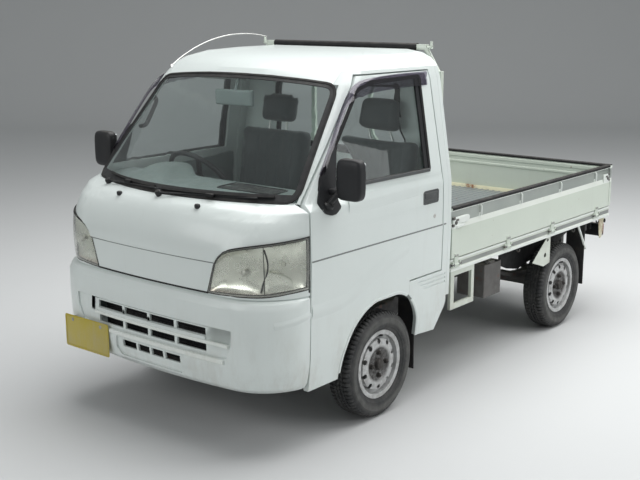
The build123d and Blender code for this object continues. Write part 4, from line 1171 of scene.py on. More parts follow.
screen_trim()
wiper_details()
crease_lines()
for side in SIDES:
    for draw in (door_trim, visor, handle, door_mirror, arch_lips, headlamp):
        draw(side)


# The wheels, drawn about their own middle with the outside towards the truck's left

HUB = (0, LENGTH / 2, 0)
TYRE_WALL = [
    # radius and place along the axle, from the bead to the tread
    (152.5, 47), (163, 50), (171, 52), (176, 57.5), (182, 59.5), (187, 62.5), (189.5, 65.6), (192, 65.6),
    (198, 68.3), (206, 70.8), (214, 72.2), (223, 72.2), (226, 73.0), (228.5, 73.0), (231, 71.2), (239, 68.0),
    (247, 63.2), (252.5, 57.5), (255.5, 51), (256.5, 30),
]
TYRE_INSIDE = [(246, 40), (236, 52), (212, 61), (180, 48), (168, 40), (152.5, 36)]
TREAD_TOP, TREAD_LOW = 263.4, 254
# Each rib's middle along the axle, and its slant
RIBS = ((0, 5), (-20.5, -5), (20.5, -5))
RIB_HALF_WIDTH, RIB_HALF_LENGTH = 7.5, 9.5
SHOULDER_LUG = [(32.5, TREAD_LOW), (32.5, TREAD_TOP), (47, 262.4), (54.5, 259.2), (60, 252.5), (64, 245.5),
                (59, 245.5)]
LUG_LENGTH, TREAD_COUNT = 15.5, 70
NUT_CIRCLE_R, NUT_R, NUT_COUNT = 57, 11.5, 4
DISC_X = 44
WEIGHT_R = 165
SPARE = (0, 3075, 434)
SPARE_PROFILES = (
    # radius and height of the disc, the flange ring and the winch's plate, and whether it is a ring
    ([(0, 4), (40, 4), (44, 10), (70, 10), (78, 2), (108, 0), (120, -8), (130, -24), (146, -30), (150, -44),
      (162, -48), (166, -52), (162, -55), (148, -50), (142, -34), (126, -30), (116, -14), (106, -5), (0, -3)],
     64, False),
    ([(150, 30), (160, 48), (166, 52), (160, 55), (146, 34), (128, 22), (126, -28), (132, -28), (132, 20)],
     64, True),
    ([(0, -18), (26, -18), (26, -12), (12, -4), (12, 4), (0, 4)], 32, False),
)


def keep_distance(data, distance):
    """Keeps each point's distance from an axle on the mesh, for the wheels' finishes."""
    away = data.attributes.new("hub_distance", "FLOAT", "POINT")
    away.data.foreach_set("value", [distance(vert.co) for vert in data.vertices])


def around(unit, count, finish):
    """Copies of a unit turned about the axle."""
    return repeated(unit, count, HUB, turn=(360 / count, 0, 0), finish=finish)


def tyre_mesh():
    """Carcass with its wall's rings, and the tread's ribs and shoulder lugs."""
    wall = TYRE_WALL + [(r, -x) for r, x in reversed(TYRE_WALL)]
    inside = [(r, -x) for r, x in reversed(TYRE_INSIDE)] + TYRE_INSIDE
    parts = [Shape().turned(wall + inside, (0, 0, 0), steps=96, closed=True).unit("carcass", 50).data]
    blocks = []
    for middle, slant in RIBS:
        low, high = about(middle, RIB_HALF_WIDTH)
        fore, rear = -RIB_HALF_LENGTH, RIB_HALF_LENGTH
        outline = [(low, fore - slant), (high, fore + slant), (high, rear + slant), (low, rear - slant)]
        blocks.append(Shape().plate(outline, TREAD_LOW, TREAD_TOP, "Z", 0.8, 1))
    for side in (1, -1):
        outline = [(side * x, z) for x, z in SHOULDER_LUG]
        blocks.append(Shape().plate(outline, -LUG_LENGTH / 2, LUG_LENGTH / 2, "Y", 0.8, 1))
    parts += [around(block.unit("block"), TREAD_COUNT, TYRE) for block in blocks]
    data = soften(joined(*parts), 50)
    keep_distance(data, lambda point: math.hypot(point.y, point.z))
    return data


def hub_mesh():
    """Wheel nuts on their studs, and the hub's cap."""
    corners = [(NUT_R * math.sin(a), NUT_CIRCLE_R + NUT_R * math.cos(a))
               for a in [math.radians(60 * i) for i in range(6)]]
    nut = Shape().plate(corners, DISC_X + 2, DISC_X + 15, "X", 1.2, 2)
    seat = [(0, DISC_X - 1), (13, DISC_X - 1), (13, DISC_X + 2), (11, DISC_X + 4), (0, DISC_X + 4)]
    nut.turned(seat, (0, 0, NUT_CIRCLE_R), steps=24)
    stud = [(0, DISC_X + 10), (6, DISC_X + 10), (6, DISC_X + 19), (4.6, DISC_X + 20.5), (0, DISC_X + 20.5)]
    nut.turned(stud, (0, 0, NUT_CIRCLE_R), steps=20)
    cap = [(0, 40), (29.5, 40), (30.5, 46), (27.5, 48), (27, 58), (23, 63.5), (14, 66), (0, 66.5)]
    cap = Shape().turned(cap, (0, 0, 0)).unit("cap").data
    return soften(joined(cap, around(nut.unit("nut"), NUT_COUNT, NUTS)), 35)


def valve_mesh():
    """A rubber valve stem."""
    valve = Shape().tube([(38, 0, 142), (50, 0, 146), (62, 0, 149)], 4.6, sides=12)
    valve.turned([(0, 0), (5.2, 0), (5.2, 9), (4, 11), (0, 11)], (60, 0, 148.5), (0.97, 0, 0.24), 16)
    return valve.unit("valve").data


def weight_mesh():
    """A balance weight clipped to the flange."""
    angles = [math.radians(20 + 2.2 * i) for i in range(9)]
    path = [(54.5, WEIGHT_R * math.sin(a), -WEIGHT_R * math.cos(a)) for a in angles]
    return Shape().tube(path, 4.0, sides=10).unit("weight").data


def wheels():
    """The four wheels' parts on their hubs, and the spare wheel."""
    tyre_data = tyre_mesh()
    parts = (
        # name, mesh, finish
        ("tyre", tyre_data, TYRE),
        ("hub", hub_mesh(), NUTS),
        ("valve", valve_mesh(), RUBBER),
        ("weight", weight_mesh(), WEIGHT),
    )
    for end, axle_y, track in (("front", FRONT_AXLE_Y, FRONT_TRACK), ("rear", REAR_AXLE_Y, REAR_TRACK)):
        for side, way in SIDES.items():
            wheel = f"{end}_{side}"
            for part, data, finish in parts:
                copy = data.copy()
                if side == "right":
                    mirrored(copy)
                copy.transform(Matrix.Translation(at(way * track / 2, axle_y, WHEEL_Z)))
                stands_for = (wheel + "_tyre",) if part == "tyre" else ()
                give(into_scene(f"{part}_{wheel}", copy), finish, "wheel_" + wheel, replaces=stands_for)
            hub = at(0, axle_y, WHEEL_Z)
            rim = panel(wheel + "_rim", RIM, 0.6)
            keep_distance(rim.data, lambda point: math.hypot(point.y - hub.y, point.z - hub.z))
    spare = tyre_data.copy()
    spare.transform(Matrix.Translation(at(*SPARE)) @ Matrix.Rotation(math.radians(90), 4, "Y"))
    give(into_scene("spare_tyre", spare), TYRE, "chassis", replaces=("spare_wheel",))
    disc, flange, winch = SPARE_PROFILES
    _, y, z = SPARE
    rim = Shape()
    for profile, steps, closed in (disc, flange):
        rim.turned(profile, SPARE, (0, 0, 1), steps, closed)
    rim.box((-6, 6), about(y, 6), (z, z + 96), 2)
    profile, steps, closed = winch
    rim.turned(profile, SPARE, (0, 0, 1), steps, closed)
    rim = rim.piece("spare_rim", RIM)
    middle = at(*SPARE)
    keep_distance(rim.data, lambda point: math.hypot(point.x, point.y - middle.y))


wheels()


# The bed and its gates

BED_FRONT_Y, BED_REAR_Y = 1447, 3352
BED_FLOOR_Z = 690
GATE_X, GATE_INNER_X = 728, 700
GATE_TOP_Z = 946
TAIL_Y, TAIL_INNER_Y = 3385.5, 3357.5
SILL_X = 722
HINGES_Y = (1492, 2039, 2569, 3176)
TAIL_HINGES_X = (-560, -190, 190, 560)
HINGE_Z = 645
STRAP_Z, LUG_Z, BOLT_Z = (649, 704), (632, 662), 692
HOOK_PAIRS = ((1734, 445), (2664, 482))
RIB_PITCH, RIB_COUNT = 46, 30
CAP_SECTION = [(-16, -11), (-16.5, 1), (-13, 4.5), (-8, 5.5), (8, 5.5), (13, 4.5), (16.5, 1), (16, -11),
               (13.4, -11), (13.4, -1.0), (-13.4, -1.0), (-13.4, -11)]
BOLT = [(0, -1), (6.5, -1), (6.5, 2.5), (5.5, 3.5), (0, 3.5)]
# The pressed bands inside the gates: how far each corner stands out of the sheet, and its height
BANDS = [[(0.5, low), (-depth, low + 3), (-depth, high - 3), (0.5, high)]
         for low, high, depth in ((862, 880, 4.5), (904, 928, 4.0))]


def gate_details(side):
    """A side gate's rubber cap, rope hooks, latches, hinge straps and pressed inner bands."""
    body = "side_gate"
    middle_x = (GATE_X + GATE_INNER_X) / 2
    line = [(middle_x, BED_FRONT_Y + 2, GATE_TOP_Z), (middle_x, BED_REAR_Y - 2, GATE_TOP_Z)]
    Shape().strip((line, (0, 0, 1)), CAP_SECTION).piece("gate_cap", RUBBER, body, side)
    hook = Shape().tube(rounded([(GATE_X - 12, 0, 868), (GATE_X + 1, 0, 872), (GATE_X + 1, 0, 921),
                                 (GATE_X - 12, 0, 926)], 8, closed=False), 5.0, sides=10)
    hook.box((GATE_X - 12, GATE_X - 6), (-13, 13), (866, 884), 2)
    rows = [(2, (0, start, 0), (0, step, 0)) for start, step in HOOK_PAIRS]
    # The hooks take the lighter paint, a painted highlight.
    copies("gate_hooks", hook.unit("gate_hook"), rows, HIGHLIT_PAINT, body, side)
    plates, dark = Shape(), Shape()
    for end_y, way in ((BED_FRONT_Y, 1), (BED_REAR_Y, -1)):
        def along(*offsets):
            return tuple(sorted(end_y + way * offset for offset in offsets))
        plates.box((GATE_X - 9, GATE_X + 1), along(8, 88), (838, 896), 4)
        if way > 0:
            plates.smooth_box((GATE_X - 9, GATE_X + 6), along(56, 168), (858, 898), 3.2, 12)
            plates.box((GATE_X - 6, GATE_X + 4), along(40, 120), (838, 856), 4, (6, 0, 0))
        button = (GATE_X + 4, end_y + way * 34, 868)
        dark.turned([(0, -6), (11, -6), (11, 0), (9, 2), (0, 2)], button, steps=24)
        dark.box((GATE_X - 7, GATE_X + 4), along(2, 20), (848, 862), 3)
        dark.box((GATE_X - 6, GATE_X + 5), along(4, 26), (884, 900), 3)
        dark.box((GATE_X - 8, GATE_X + 3), along(34, 62), (874, 886), 3)
    # The latch plates take the lighter paint, a painted highlight.
    plates.piece("gate_latches", HIGHLIT_PAINT, body, side)
    dark.piece("gate_latch_pins", CAST, body, side)
    straps, bands = Shape(), Shape()
    for y in HINGES_Y:
        straps.box((GATE_X - 1, GATE_X + 3.5), about(y, 19), STRAP_Z, 1.5)
    straps.piece("gate_straps", BED, body, side)
    bolt = Shape().turned(BOLT, (GATE_X + 3.5, 0, BOLT_Z), steps=12).unit("strap_bolt")
    copies("gate_bolts", bolt, [(2, (0, y - 10, 0), (0, 20, 0)) for y in HINGES_Y], STEEL, body, side)
    for band in BANDS:
        bands.bar([(GATE_INNER_X + out, z) for out, z in band], BED_FRONT_Y + 8, BED_REAR_Y - 8, "Y")
    bands.piece("gate_bands", BED, body, side)


def sill_details(side):
    """The sill's folded lips, its hinge lugs' plates and rope hooks, and the floor's edge ridge."""
    lips = Shape()
    for z, width, reach in ((616, 16, 5.0), (668, 12, 2.0)):
        line = [(SILL_X, BED_FRONT_Y, z), (SILL_X, TAIL_Y - 8, z)]
        lips.strip((line, (1, 0, 0)), flat_section(width, reach, 2))
    # The lips take the lighter paint, a painted highlight.
    lips.piece("sill_lips", HIGHLIT_PAINT, side=side)
    ridge = [(668, 689), (671, 704), (678, 713), (691, 713), (694, 709), (694, 689)]
    Shape().bar(ridge, 1475, 3350, "Y").piece("floor_ridge", RUSTED, side=side)
    lugs = Shape()
    for y in HINGES_Y:
        for near in about(y, 33):
            lugs.box((SILL_X - 1, SILL_X + 13), about(near, 4), LUG_Z, 2.5)
        lugs.box((SILL_X - 1, SILL_X + 3), about(y, 38), (622, 636), 1.5)
    lugs.piece("hinge_lugs", BED, side=side)
    pin = Shape()
    for ends in ((-46, -30), (30, 46)):
        pin.tube([(GATE_X + 3, y, HINGE_Z) for y in ends], 5.2, sides=12)
    copies("hinge_pins", pin.unit("hinge_pin"), [(1, (0, y, 0)) for y in HINGES_Y], CAST, side=side)
    bend = [(702, 0, 616), (702, 0, 588), (711, 0, 580), (720, 0, 588), (720, 0, 597)]
    hook = Shape().tube(rounded(bend, 8, closed=False), 4.0, sides=10)
    copies("rope_hooks", hook.unit("rope_hook"), [(5, (0, 1840, 0), (0, 350, 0))], CAST, side=side)
    stay = Shape().tube([(712, 2955, 612), (713, 3016, 525), (713, 3076, 440)], 7.5, sides=10)
    # The stay takes the lighter paint, a painted highlight.
    stay.piece("flap_stay", HIGHLIT_PAINT, side=side)
    strap = rounded([(3246, 612), (3328, 612), (3316, 520), (3300, 476), (3270, 474), (3252, 540)], 12)
    Shape().plate(strap, 714, 718, "X", 0.8).piece("corner_hanger", RUSTED, side=side)
    knob = Shape().turned([(0, -2), (13, -2), (13, 4), (9, 6), (0, 6)], (718, 3330, 584), steps=24)
    knob.piece("hanger_knob", RUBBER, side=side)


def tail_details():
    """The tailgate's rubber cap, hinge straps, chain hooks and pressed bands."""
    body = "tailgate"
    middle_y = (TAIL_Y + TAIL_INNER_Y) / 2
    line = [(-GATE_X + 2, middle_y, GATE_TOP_Z), (GATE_X - 2, middle_y, GATE_TOP_Z)]
    Shape().strip((line, (0, 0, 1)), CAP_SECTION).piece("tail_cap", RUBBER, body)
    straps, lugs, bands = Shape(), Shape(), Shape()
    for x in TAIL_HINGES_X:
        straps.box(about(x, 19), (TAIL_Y - 1, TAIL_Y + 3.5), STRAP_Z, 1.5)
        for near in about(x, 33):
            lugs.box(about(near, 4), about(TAIL_Y, 7), LUG_Z, 2.5)
    straps.piece("tail_straps", BED, body)
    lugs.piece("tail_lugs", BED)
    bolt = Shape().turned(BOLT, (0, TAIL_Y + 3.5, BOLT_Z), (0, 1, 0), 12).unit("tail_bolt")
    copies("tail_bolts", bolt, [(2, (x - 10, 0, 0), (20, 0, 0)) for x in TAIL_HINGES_X], STEEL, body)
    hook = Shape().tube(rounded([(0, TAIL_Y - 12, 874), (0, TAIL_Y + 5, 880), (0, TAIL_Y + 6, 918),
                                 (0, TAIL_Y - 12, 924)], 8, closed=False), 4.2, sides=10)
    copies("tail_hooks", hook.unit("tail_hook"), [(4, (-480, 0, 0), (320, 0, 0))], BED, body)
    for band in BANDS:
        bands.bar([(TAIL_INNER_Y + out, z) for out, z in band], -690, 690, "X")
    bands.piece("tail_bands", BED, body)
    ridge = [(3328, 689), (3331, 704), (3337, 713), (3349, 713), (3352, 709), (3352, 689)]
    Shape().bar(ridge, -664, 664, "X").piece("floor_ridge_rear", RUSTED)


def deck_details():
    """The floor's worn sheet and its pressed ribs, and the guard bar's rubber."""
    sheet = Shape().plate(oblong((-680, 680), (1476, 3349)), BED_FLOOR_Z - 0.5, BED_FLOOR_Z + 1.2, "Z", 0.5)
    sheet.piece("deck_sheet", DECK)
    rib = Shape().bar([(-9, 0), (-6, 3.2), (6, 3.2), (9, 0)], 1484, 3342, "Y").unit("deck_rib")
    first = (-(RIB_COUNT - 1) / 2 * RIB_PITCH, 0, BED_FLOOR_Z + 1)
    copies("deck_ribs", rib, [(RIB_COUNT, first, (RIB_PITCH, 0, 0))], DECK)
    bar = spaced([(-484, 1458, 1758), (484, 1458, 1758)], 60, closed=False)
    Shape().tube(bar, 19, sides=20).piece("guard_rubber", RUBBER)


for side in SIDES:
    gate_details(side)
    sill_details(side)
tail_details()
deck_details()


# The cab's inside

SCREEN_BASE_Y, SCREEN_BOW, SCREEN_REACH_X = 122, 179, 659
WHEEL_X = -345
PAD_HALF, PAD_REAR_Y = 630, 500
FLOOR_Z = 476
DIAL_PROFILE = [(0, 0), (42, 0), (42, 3), (46, 6), (49, 3), (49, -6), (0, -6)]
# The roof lining's range, and the steps that it is drawn in
LINING_Y, LINING_HALF_X, LINING_DEPTH = 800, 520, 570
LINING_ROWS, LINING_COLUMNS = 16, 24
dash_skin = Surface("dashboard")


def hump_at(x):
    """How much of the hump over the dials stands at an x."""
    return math.exp(-((x - WHEEL_X) / 135) ** 4)


def pad_height(x, share):
    """The dash top's height at a share of the way back, with the hump over the dials."""
    crown = 1122 + 24 * math.sin(math.pi * min(1.0, share * 0.62))
    return crown + hump_at(x) * 46 * clamped((share - 0.25) / 0.5)


def dash_top():
    """The soft top of the dashboard, rolled over at its rear edge, and its tray."""
    rows = []
    for x in [-PAD_HALF + 2 * PAD_HALF * i / 60 for i in range(61)]:
        front_y = SCREEN_BASE_Y + 24 + SCREEN_BOW * (x / SCREEN_REACH_X) ** 2
        rear_y = PAD_REAR_Y + 58 * hump_at(x)
        lip = pad_height(x, 1.0)
        row = [(front_y, 1088)]
        row += [(front_y + (rear_y - front_y) * s / 10, pad_height(x, s / 10)) for s in range(11)]
        row += [(rear_y + 8, lip - 5), (rear_y + 11, lip - 16), (rear_y + 6, lip - 30),
                (rear_y - 14, lip - 38), (rear_y - 60, 1086)]
        rows.append([Vector((x, y, z)) for y, z in row])
    Shape().skin(rows, around=True).piece("dash_top", DASH, crease=50)
    tray = rounded([(140, 330), (480, 350), (480, 452), (140, 462)], 20)
    laid = [Vector((p.x, p.y, pad_height(p.x, (p.y - 180) / 320) + 0.5)) for p in tray]
    tray = Shape().strip((laid, (0, 0, 1)), flat_section(9, 3.5), closed=True)
    tray.mesh.faces.new([tray.mesh.verts.new(p + Vector((0, 0, 1))) for p in laid])
    tray.piece("dash_tray", PLASTIC)


def dash_face_y(x, z):
    """Where the dashboard's face is, seen from behind."""
    return dash_skin.hit((x, 900, z), (0, -1, 0))[0].y


DASH_ITEMS = (
    # name, x range, z range, how far it stands out, rounded edge, finish
    ("radio", (-88, 88), (984, 1034), 6, 4, PLASTIC),
    ("heater", (-88, 88), (902, 972), 5, 4, PLASTIC),
    ("ashtray", (-70, 70), (852, 890), 4, 4, DASH),
    ("glovebox", (150, 590), (872, 1000), 6, 10, DASH),
    ("vent_middle", (-88, 88), (1044, 1080), 5, 5, PLASTIC),
    ("vent_left", (520, 620), (1030, 1078), 5, 5, PLASTIC),
    ("vent_right", (-620, -540), (1030, 1078), 5, 5, PLASTIC),
)


def dash_items():
    """Radio, heater, ashtray, glovebox lid, air vents with their slats, heater knobs and dials."""
    slats, knobs = [], []
    for name, x, z, out, edge, finish in DASH_ITEMS:
        middle_x, middle_z = sum(x) / 2, sum(z) / 2
        y = dash_face_y(middle_x, middle_z)
        item = Shape().box(x, (y - 14, y + out), z, edge, (-18, 0, 0))
        item.piece("dash_" + name, finish, slot="dash_grey")
        if name.startswith("vent"):
            slats.append((4, (middle_x, y + out + 1, middle_z - 14), (0, 3, 9)))
        if name == "heater":
            knobs.append((3, (middle_x - 52, y + out, middle_z), (52, 0, 0)))
    slat = Shape().box((-34, 34), (-3, 3), (-1.6, 1.6), 0.8, (30, 0, 0), 1)
    copies("vent_slats", slat.unit("vent_slat"), slats, PLASTIC)
    knob = Shape().turned([(0, -2), (12, -2), (11, 10), (9, 12), (0, 12)], (0, 0, 0), (0, 1, 0), 24)
    copies("heater_knobs", knob.unit("heater_knob"), knobs, PLASTIC)
    dials = Shape()
    for x in about(WHEEL_X, 52):
        dials.turned(DIAL_PROFILE, (x, 545, 1118), (0, 0.86, 0.5))
    dials.box(about(WHEEL_X, 120), (500, 540), (1070, 1160), 10, (-30, 0, 0))
    dials.piece("dials", PLASTIC)


def controls():
    """Gear lever, handbrake, pedals, column switches and the floor's mat."""
    lever = Shape().tube(flowing([(-30, 640, 660), (-36, 622, 740), (-60, 590, 860)], 6), 6.5)
    lever.turned([(58, 0), (52, 8), (34, 26), (16, 52), (9, 60)], (-30, 640, 648), (0, -0.1, 1), 32)
    lever.smooth_box((-78, -42), (572, 608), (852, 898), 2.6, 12)
    lever.box((-54, -22), (880, 1060), (806, 826), 5)
    lever.tube(flowing([(-38, 1040, 822), (-38, 960, 850), (-38, 830, 905)], 6), 9)
    lever.smooth_box((-52, -24), (790, 880), (872, 922), 2.6, 12)
    lever.piece("levers", PLASTIC)
    pedals, switches = Shape(), Shape()
    for x, width in ((-500, 52), (-400, 52), (-300, 44)):
        pedals.box(about(x, width / 2), (224, 236), (580, 640), 4, (-30, 0, 0))
        pedals.tube([(x, 226, 620), (x, 200, 720), (x, 200, 850)], 6)
    pedals.piece("pedals", RUBBER)
    for way in (-1, 1):
        stalk = ((30, 660, 1050), (90, 664, 1062), (150, 668, 1080))
        switches.tube(flowing([(WHEEL_X + way * x, y, z) for x, y, z in stalk], 5), 6)
    switches.smooth_box(about(WHEEL_X, 62), (590, 664), (996, 1078), 4.0, 16)
    switches.piece("column_switches", PLASTIC)
    mat = rounded(oblong((-640, 640), (155, 494)), 30)
    Shape().plate(mat, FLOOR_Z, FLOOR_Z + 4, "Z", 1.2).piece("floor_mat", MAT)
    rib = Shape().box((-620, 620), (-2.5, 2.5), (FLOOR_Z + 2, FLOOR_Z + 6), 1.5, segments=1).unit("mat_rib")
    copies("mat_ribs", rib, [(22, (0, 172, 0), (0, 14.5, 0))], MAT)


def linings():
    """Roof lining, sun visors, the grab handle and the mirror's glass."""
    roof = Surface("cab_roof")
    rows = []
    for i in range(LINING_ROWS + 1):
        y = LINING_Y + LINING_DEPTH * i / LINING_ROWS
        row = []
        for j in range(LINING_COLUMNS + 1):
            x = -LINING_HALF_X + 2 * LINING_HALF_X * j / LINING_COLUMNS
            found = roof.hit((x, y, 1400), (0, 0, 1))
            row.append(Vector((x, y, (found[0].z if found else 1640) - 5)))
        rows.append(row)
    Shape().skin(rows).thicken(3).piece("roof_lining", LINING, crease=60)
    visors = Shape()
    for x in ((-500, -150), (150, 500)):
        visors.box(x, (700, 860), (1606, 1622), 7, (-8, 0, 0))
    visors.piece("sun_visors", LINING)
    grab = [(-634, 556, 1352), (-598, 566, 1356), (-590, 640, 1478), (-622, 656, 1498)]
    Shape().tube(rounded(grab, 22, closed=False), 10.5, sides=12).piece("grab_handle", PLASTIC)
    pane = rounded(oblong((-116, 116), (1498, 1562)), 9)
    Shape().plate(pane, 621, 623.4, "Y", 0.8).piece("interior_pane", MIRROR)


def door_inside(side):
    """Trim board, armrest, window crank and inner pull of one door."""
    outline = rounded([(350, 690), (1040, 690), (1310, 700), (1310, 1148), (420, 1148), (350, 1060)], 30)
    board = Shape().plate(outline, 695, 706, "X", 3)
    seam = spaced(rounded([(430, 760), (1240, 770), (1240, 1060), (430, 1040)], 60), 40)
    board.strip(([(695, y, z) for y, z in seam], (-1, 0, 0)), ring_section(3.5), closed=True)
    board.smooth_box((642, 698), (820, 1060), (900, 952), 4.0, 16)
    board.piece("door_board", DASH, "door", side)
    fittings = Shape().turned([(0, 0), (24, 0), (24, 8), (14, 14), (0, 14)], (694, 640, 850), (-1, 0, 0), 28)
    fittings.tube([(684, 640, 850), (676, 676, 882), (674, 700, 900)], 6)
    fittings.turned([(0, 0), (11, 0), (12, 16), (9, 24), (0, 25)], (674, 704, 903), (-1, 0, 0), 24)
    fittings.box((686, 696), (640, 730), (1050, 1090), 6)
    fittings.box((678, 688), (660, 720), (1058, 1080), 4)
    fittings.piece("door_fittings", PLASTIC, "door", side)


# The seats

SEAT_X = 350
BACK_FOOT, BACK_LEAN = (1230, 806), -10
UP, FORWARDS = Vector((0, 0, 1)), Vector((0, -1, 0))
PADS = (
    # name, x, y and z range about its foot, foot's y and z, lean, its face, channels, farthest move in mm
    ("cushion", ((-240, 240), (776, 1160), (802, 922)), (0, 0), 0, UP, 4, 7),
    ("seat_back", ((-234, 234), (-46, 46), (4, 496)), BACK_FOOT, BACK_LEAN, FORWARDS, 4, 7),
    ("headrest", ((-116, 116), (-34, 34), (534, 686)), BACK_FOOT, BACK_LEAN, FORWARDS, 1, 5),
)
PAD_GRID = 0.0095
CROWN, GROOVE = 0.006, 0.0045
SEWN_SHARE = 0.72
# Shares of the pad's half depth where the channels and the seam end, and how wide each is pressed in
CHANNEL_END, SEAM_END = 0.86, 0.88
CHANNEL_WIDTH, SEAM_WIDTH = 0.07, 0.025
FILL_STEPS, FILL_PRESSURE = 12, 4


def seat_pad(name, block, foot, lean, face, channels, cap, way):
    """A padded block blown up a little, with sewn channels across the face it offers."""
    thing = into_scene(name, Shape().box(*block, 30, segments=4).metres(name))
    remesh = thing.modifiers.new("grid", "REMESH")
    remesh.mode = "VOXEL"
    remesh.voxel_size = PAD_GRID
    settle(thing)
    start = [vert.co.copy() for vert in thing.data.vertices]
    cloth = thing.modifiers.new("fill", "CLOTH")
    cloth.settings.use_pressure = True
    cloth.settings.uniform_pressure_force = FILL_PRESSURE
    cloth.settings.effector_weights.gravity = 0
    for step in range(1, FILL_STEPS + 1):
        bpy.context.scene.frame_set(step)
    settle(thing)
    bpy.context.scene.frame_set(1)
    middle = Vector([(a + b) / 2000 for a, b in block])
    half = Vector([(b - a) / 2000 for a, b in block])
    reach = abs(half.dot(Vector([abs(c) for c in face])))
    across = 2 if face.z == 0 else 1
    for vert, first in zip(thing.data.vertices, start):
        move = vert.co - first
        if move.length > cap / 1000:
            move *= cap / 1000 / move.length
        place = first - middle
        edge = [min(1.0, abs(place[i]) / half[i]) for i in range(3)]
        towards = place.dot(face) / reach
        if towards > 0.3:
            crown = (1 - edge[0] ** 4) * (1 - edge[across] ** 4)
            groove = 0.0
            if edge[0] < SEWN_SHARE and edge[across] < CHANNEL_END:
                share = (place[0] / half[0] / SEWN_SHARE + 1) / 2 * channels
                groove = -math.exp(-(abs(share - round(share)) / CHANNEL_WIDTH) ** 2)
            if edge[across] < SEAM_END:
                groove = min(groove, -math.exp(-((edge[0] - SEWN_SHARE) / SEAM_WIDTH) ** 2))
            move += face * (CROWN * crown + GROOVE * groove * towards)
        vert.co = first + move
    turn = Matrix.Rotation(math.radians(lean), 4, "X")
    thing.data.transform(Matrix.Translation(at(way * SEAT_X, *foot)) @ turn)
    thing.data.shade_smooth()
    smooth = thing.modifiers.new("smooth", "SUBSURF")
    smooth.levels = smooth.render_levels = 1
    give(thing, SEAT, "chassis", replaces=("seats",))


def seats():
    """Two seats: cushion, back and headrest with its rods."""
    rods = Shape()
    lean = math.radians(BACK_LEAN)
    foot_y, foot_z = BACK_FOOT
    for side, way in SIDES.items():
        for name, *pad in PADS:
            seat_pad(f"{name}_{side}", *pad, way)
        for x in (-63, 63):
            ends = [(way * SEAT_X + x, foot_y - math.sin(lean) * up, foot_z + math.cos(lean) * up)
                    for up in (480, 560)]
            rods.tube(ends, 6.5, sides=14)
    rods.piece("headrest_rods", PLATED)


# Lamps, plates and what lies behind the bumper and in the wheel openings

LAMP_X, LAMP_Z = (560, 700), (476, 556)
LAMP_PARTS = (
    # name, where it starts and ends as a share of the width, finish
    ("tail_lens", 0.0, 0.42, RED_LENS),
    ("turn_lens", 0.42, 0.74, AMBER_LENS),
    ("reverse_lens", 0.74, 1.0, LENS),
)


def inset(ends, by):
    """A range drawn in at both ends."""
    return ends[0] + by, ends[1] - by


def rear_lamp(side):
    """A tail lamp: black case with its bracket, reflector and three lenses."""
    case = Shape().box(LAMP_X, (3321, 3364), LAMP_Z, 7)
    case.box((610, 640), (3288, 3328), (522, 622), 2)
    case.tube([(600, 3330, 500), (590, 3300, 520), (560, 3280, 560)], 5)
    case.piece("lamp_case", PLASTIC, side=side, replaces=("rear_lamps",))
    silver = Shape().plate(oblong(inset(LAMP_X, 5), inset(LAMP_Z, 5)), 3364, 3366, "Y", 0.5)
    silver.piece("lamp_silver", REFLECTOR, side=side)
    low, high = inset(LAMP_X, 3)
    for name, start, end, lens in LAMP_PARTS:
        x = (high - end * (high - low), high - start * (high - low))
        Shape().box(inset(x, 0.4), (3367, 3379), inset(LAMP_Z, 3), 4).piece(name, lens, side=side)


PLATE_HALF, PLATE_RISE = 165, 82.5
PLATES = (
    # name, middle x, face y, middle z, the way it faces, depth of its bracket
    ("front", -448, 3, 390, -1, 40),
    ("rear", 0, 3387.5, 520, 1, 3),
)


def number_plate(name, x, y, z, way, depth):
    """A blank plate with its pressed rim, two capped screws and the bracket behind."""
    corners = rounded(oblong(about(x, PLATE_HALF), about(z, PLATE_RISE)), 12)
    plate = Shape().plate(corners, *sorted((y, y - way * 1.6)), "Y", 0.4)
    inner = rounded(oblong(about(x, PLATE_HALF - 7), about(z, PLATE_RISE - 7)), 10)
    plate.strip(([(a, y, b) for a, b in inner], (0, way, 0)), ring_section(2.2, 0.6), closed=True)
    plate.piece("plate_" + name, YELLOW, replaces=("number_plates",))
    fixing = Shape().box(about(x, 122), sorted((y - way * 2, y - way * (2 + depth))), (z + 44, z + 72), 1.5)
    for screw_x in about(x, 105):
        fixing.turned([(0, -1), (9, -1), (9, 0.8), (7, 1.8), (0, 2.2)], (screw_x, y, z + 60), (0, way, 0), 20)
    fixing.piece("plate_fixing_" + name, STEEL)


def arch_liner(side):
    """The black liner over a front wheel, and the splash sheet inside a rear one."""
    over = [(y, z + 6) for y, z in ARCH if z > 400 and y < 1110]
    rows = [[Vector((x, y, z)) for y, z in over] for x in (572, 640, 690, 700)]
    Shape().skin(rows).thicken(2.5).piece("arch_liner", RUBBER, side=side, crease=60)
    splash = [(2230, 470), (2330, 430), (2470, 400), (2560, 420), (2900, 440), (3040, 500), (3180, 540),
              (3180, 606), (2230, 606)]
    Shape().plate(splash, 560, 563, "X", 1).piece("splash_sheet", RUBBER, side=side)


def grille_backing():
    """The dark screen behind the bumper's slots."""
    Shape().plate(oblong((-384, 384), (372, 592)), 84, 88, "Y", 1).piece("grille_backing", PLASTIC)
    bar = Shape().box((-380, 380), (78, 84), (-2, 2), 1, segments=1).unit("grille_bar")
    copies("grille_bars", bar, [(19, (0, 0, 380), (0, 0, 11.5))], PLASTIC)


dash_top()
dash_items()
controls()
linings()
seats()
grille_backing()
for side in SIDES:
    for draw in (door_inside, rear_lamp, arch_liner):
        draw(side)
for row in PLATES:
    number_plate(*row)


# Floor, backdrop, lamps and camera

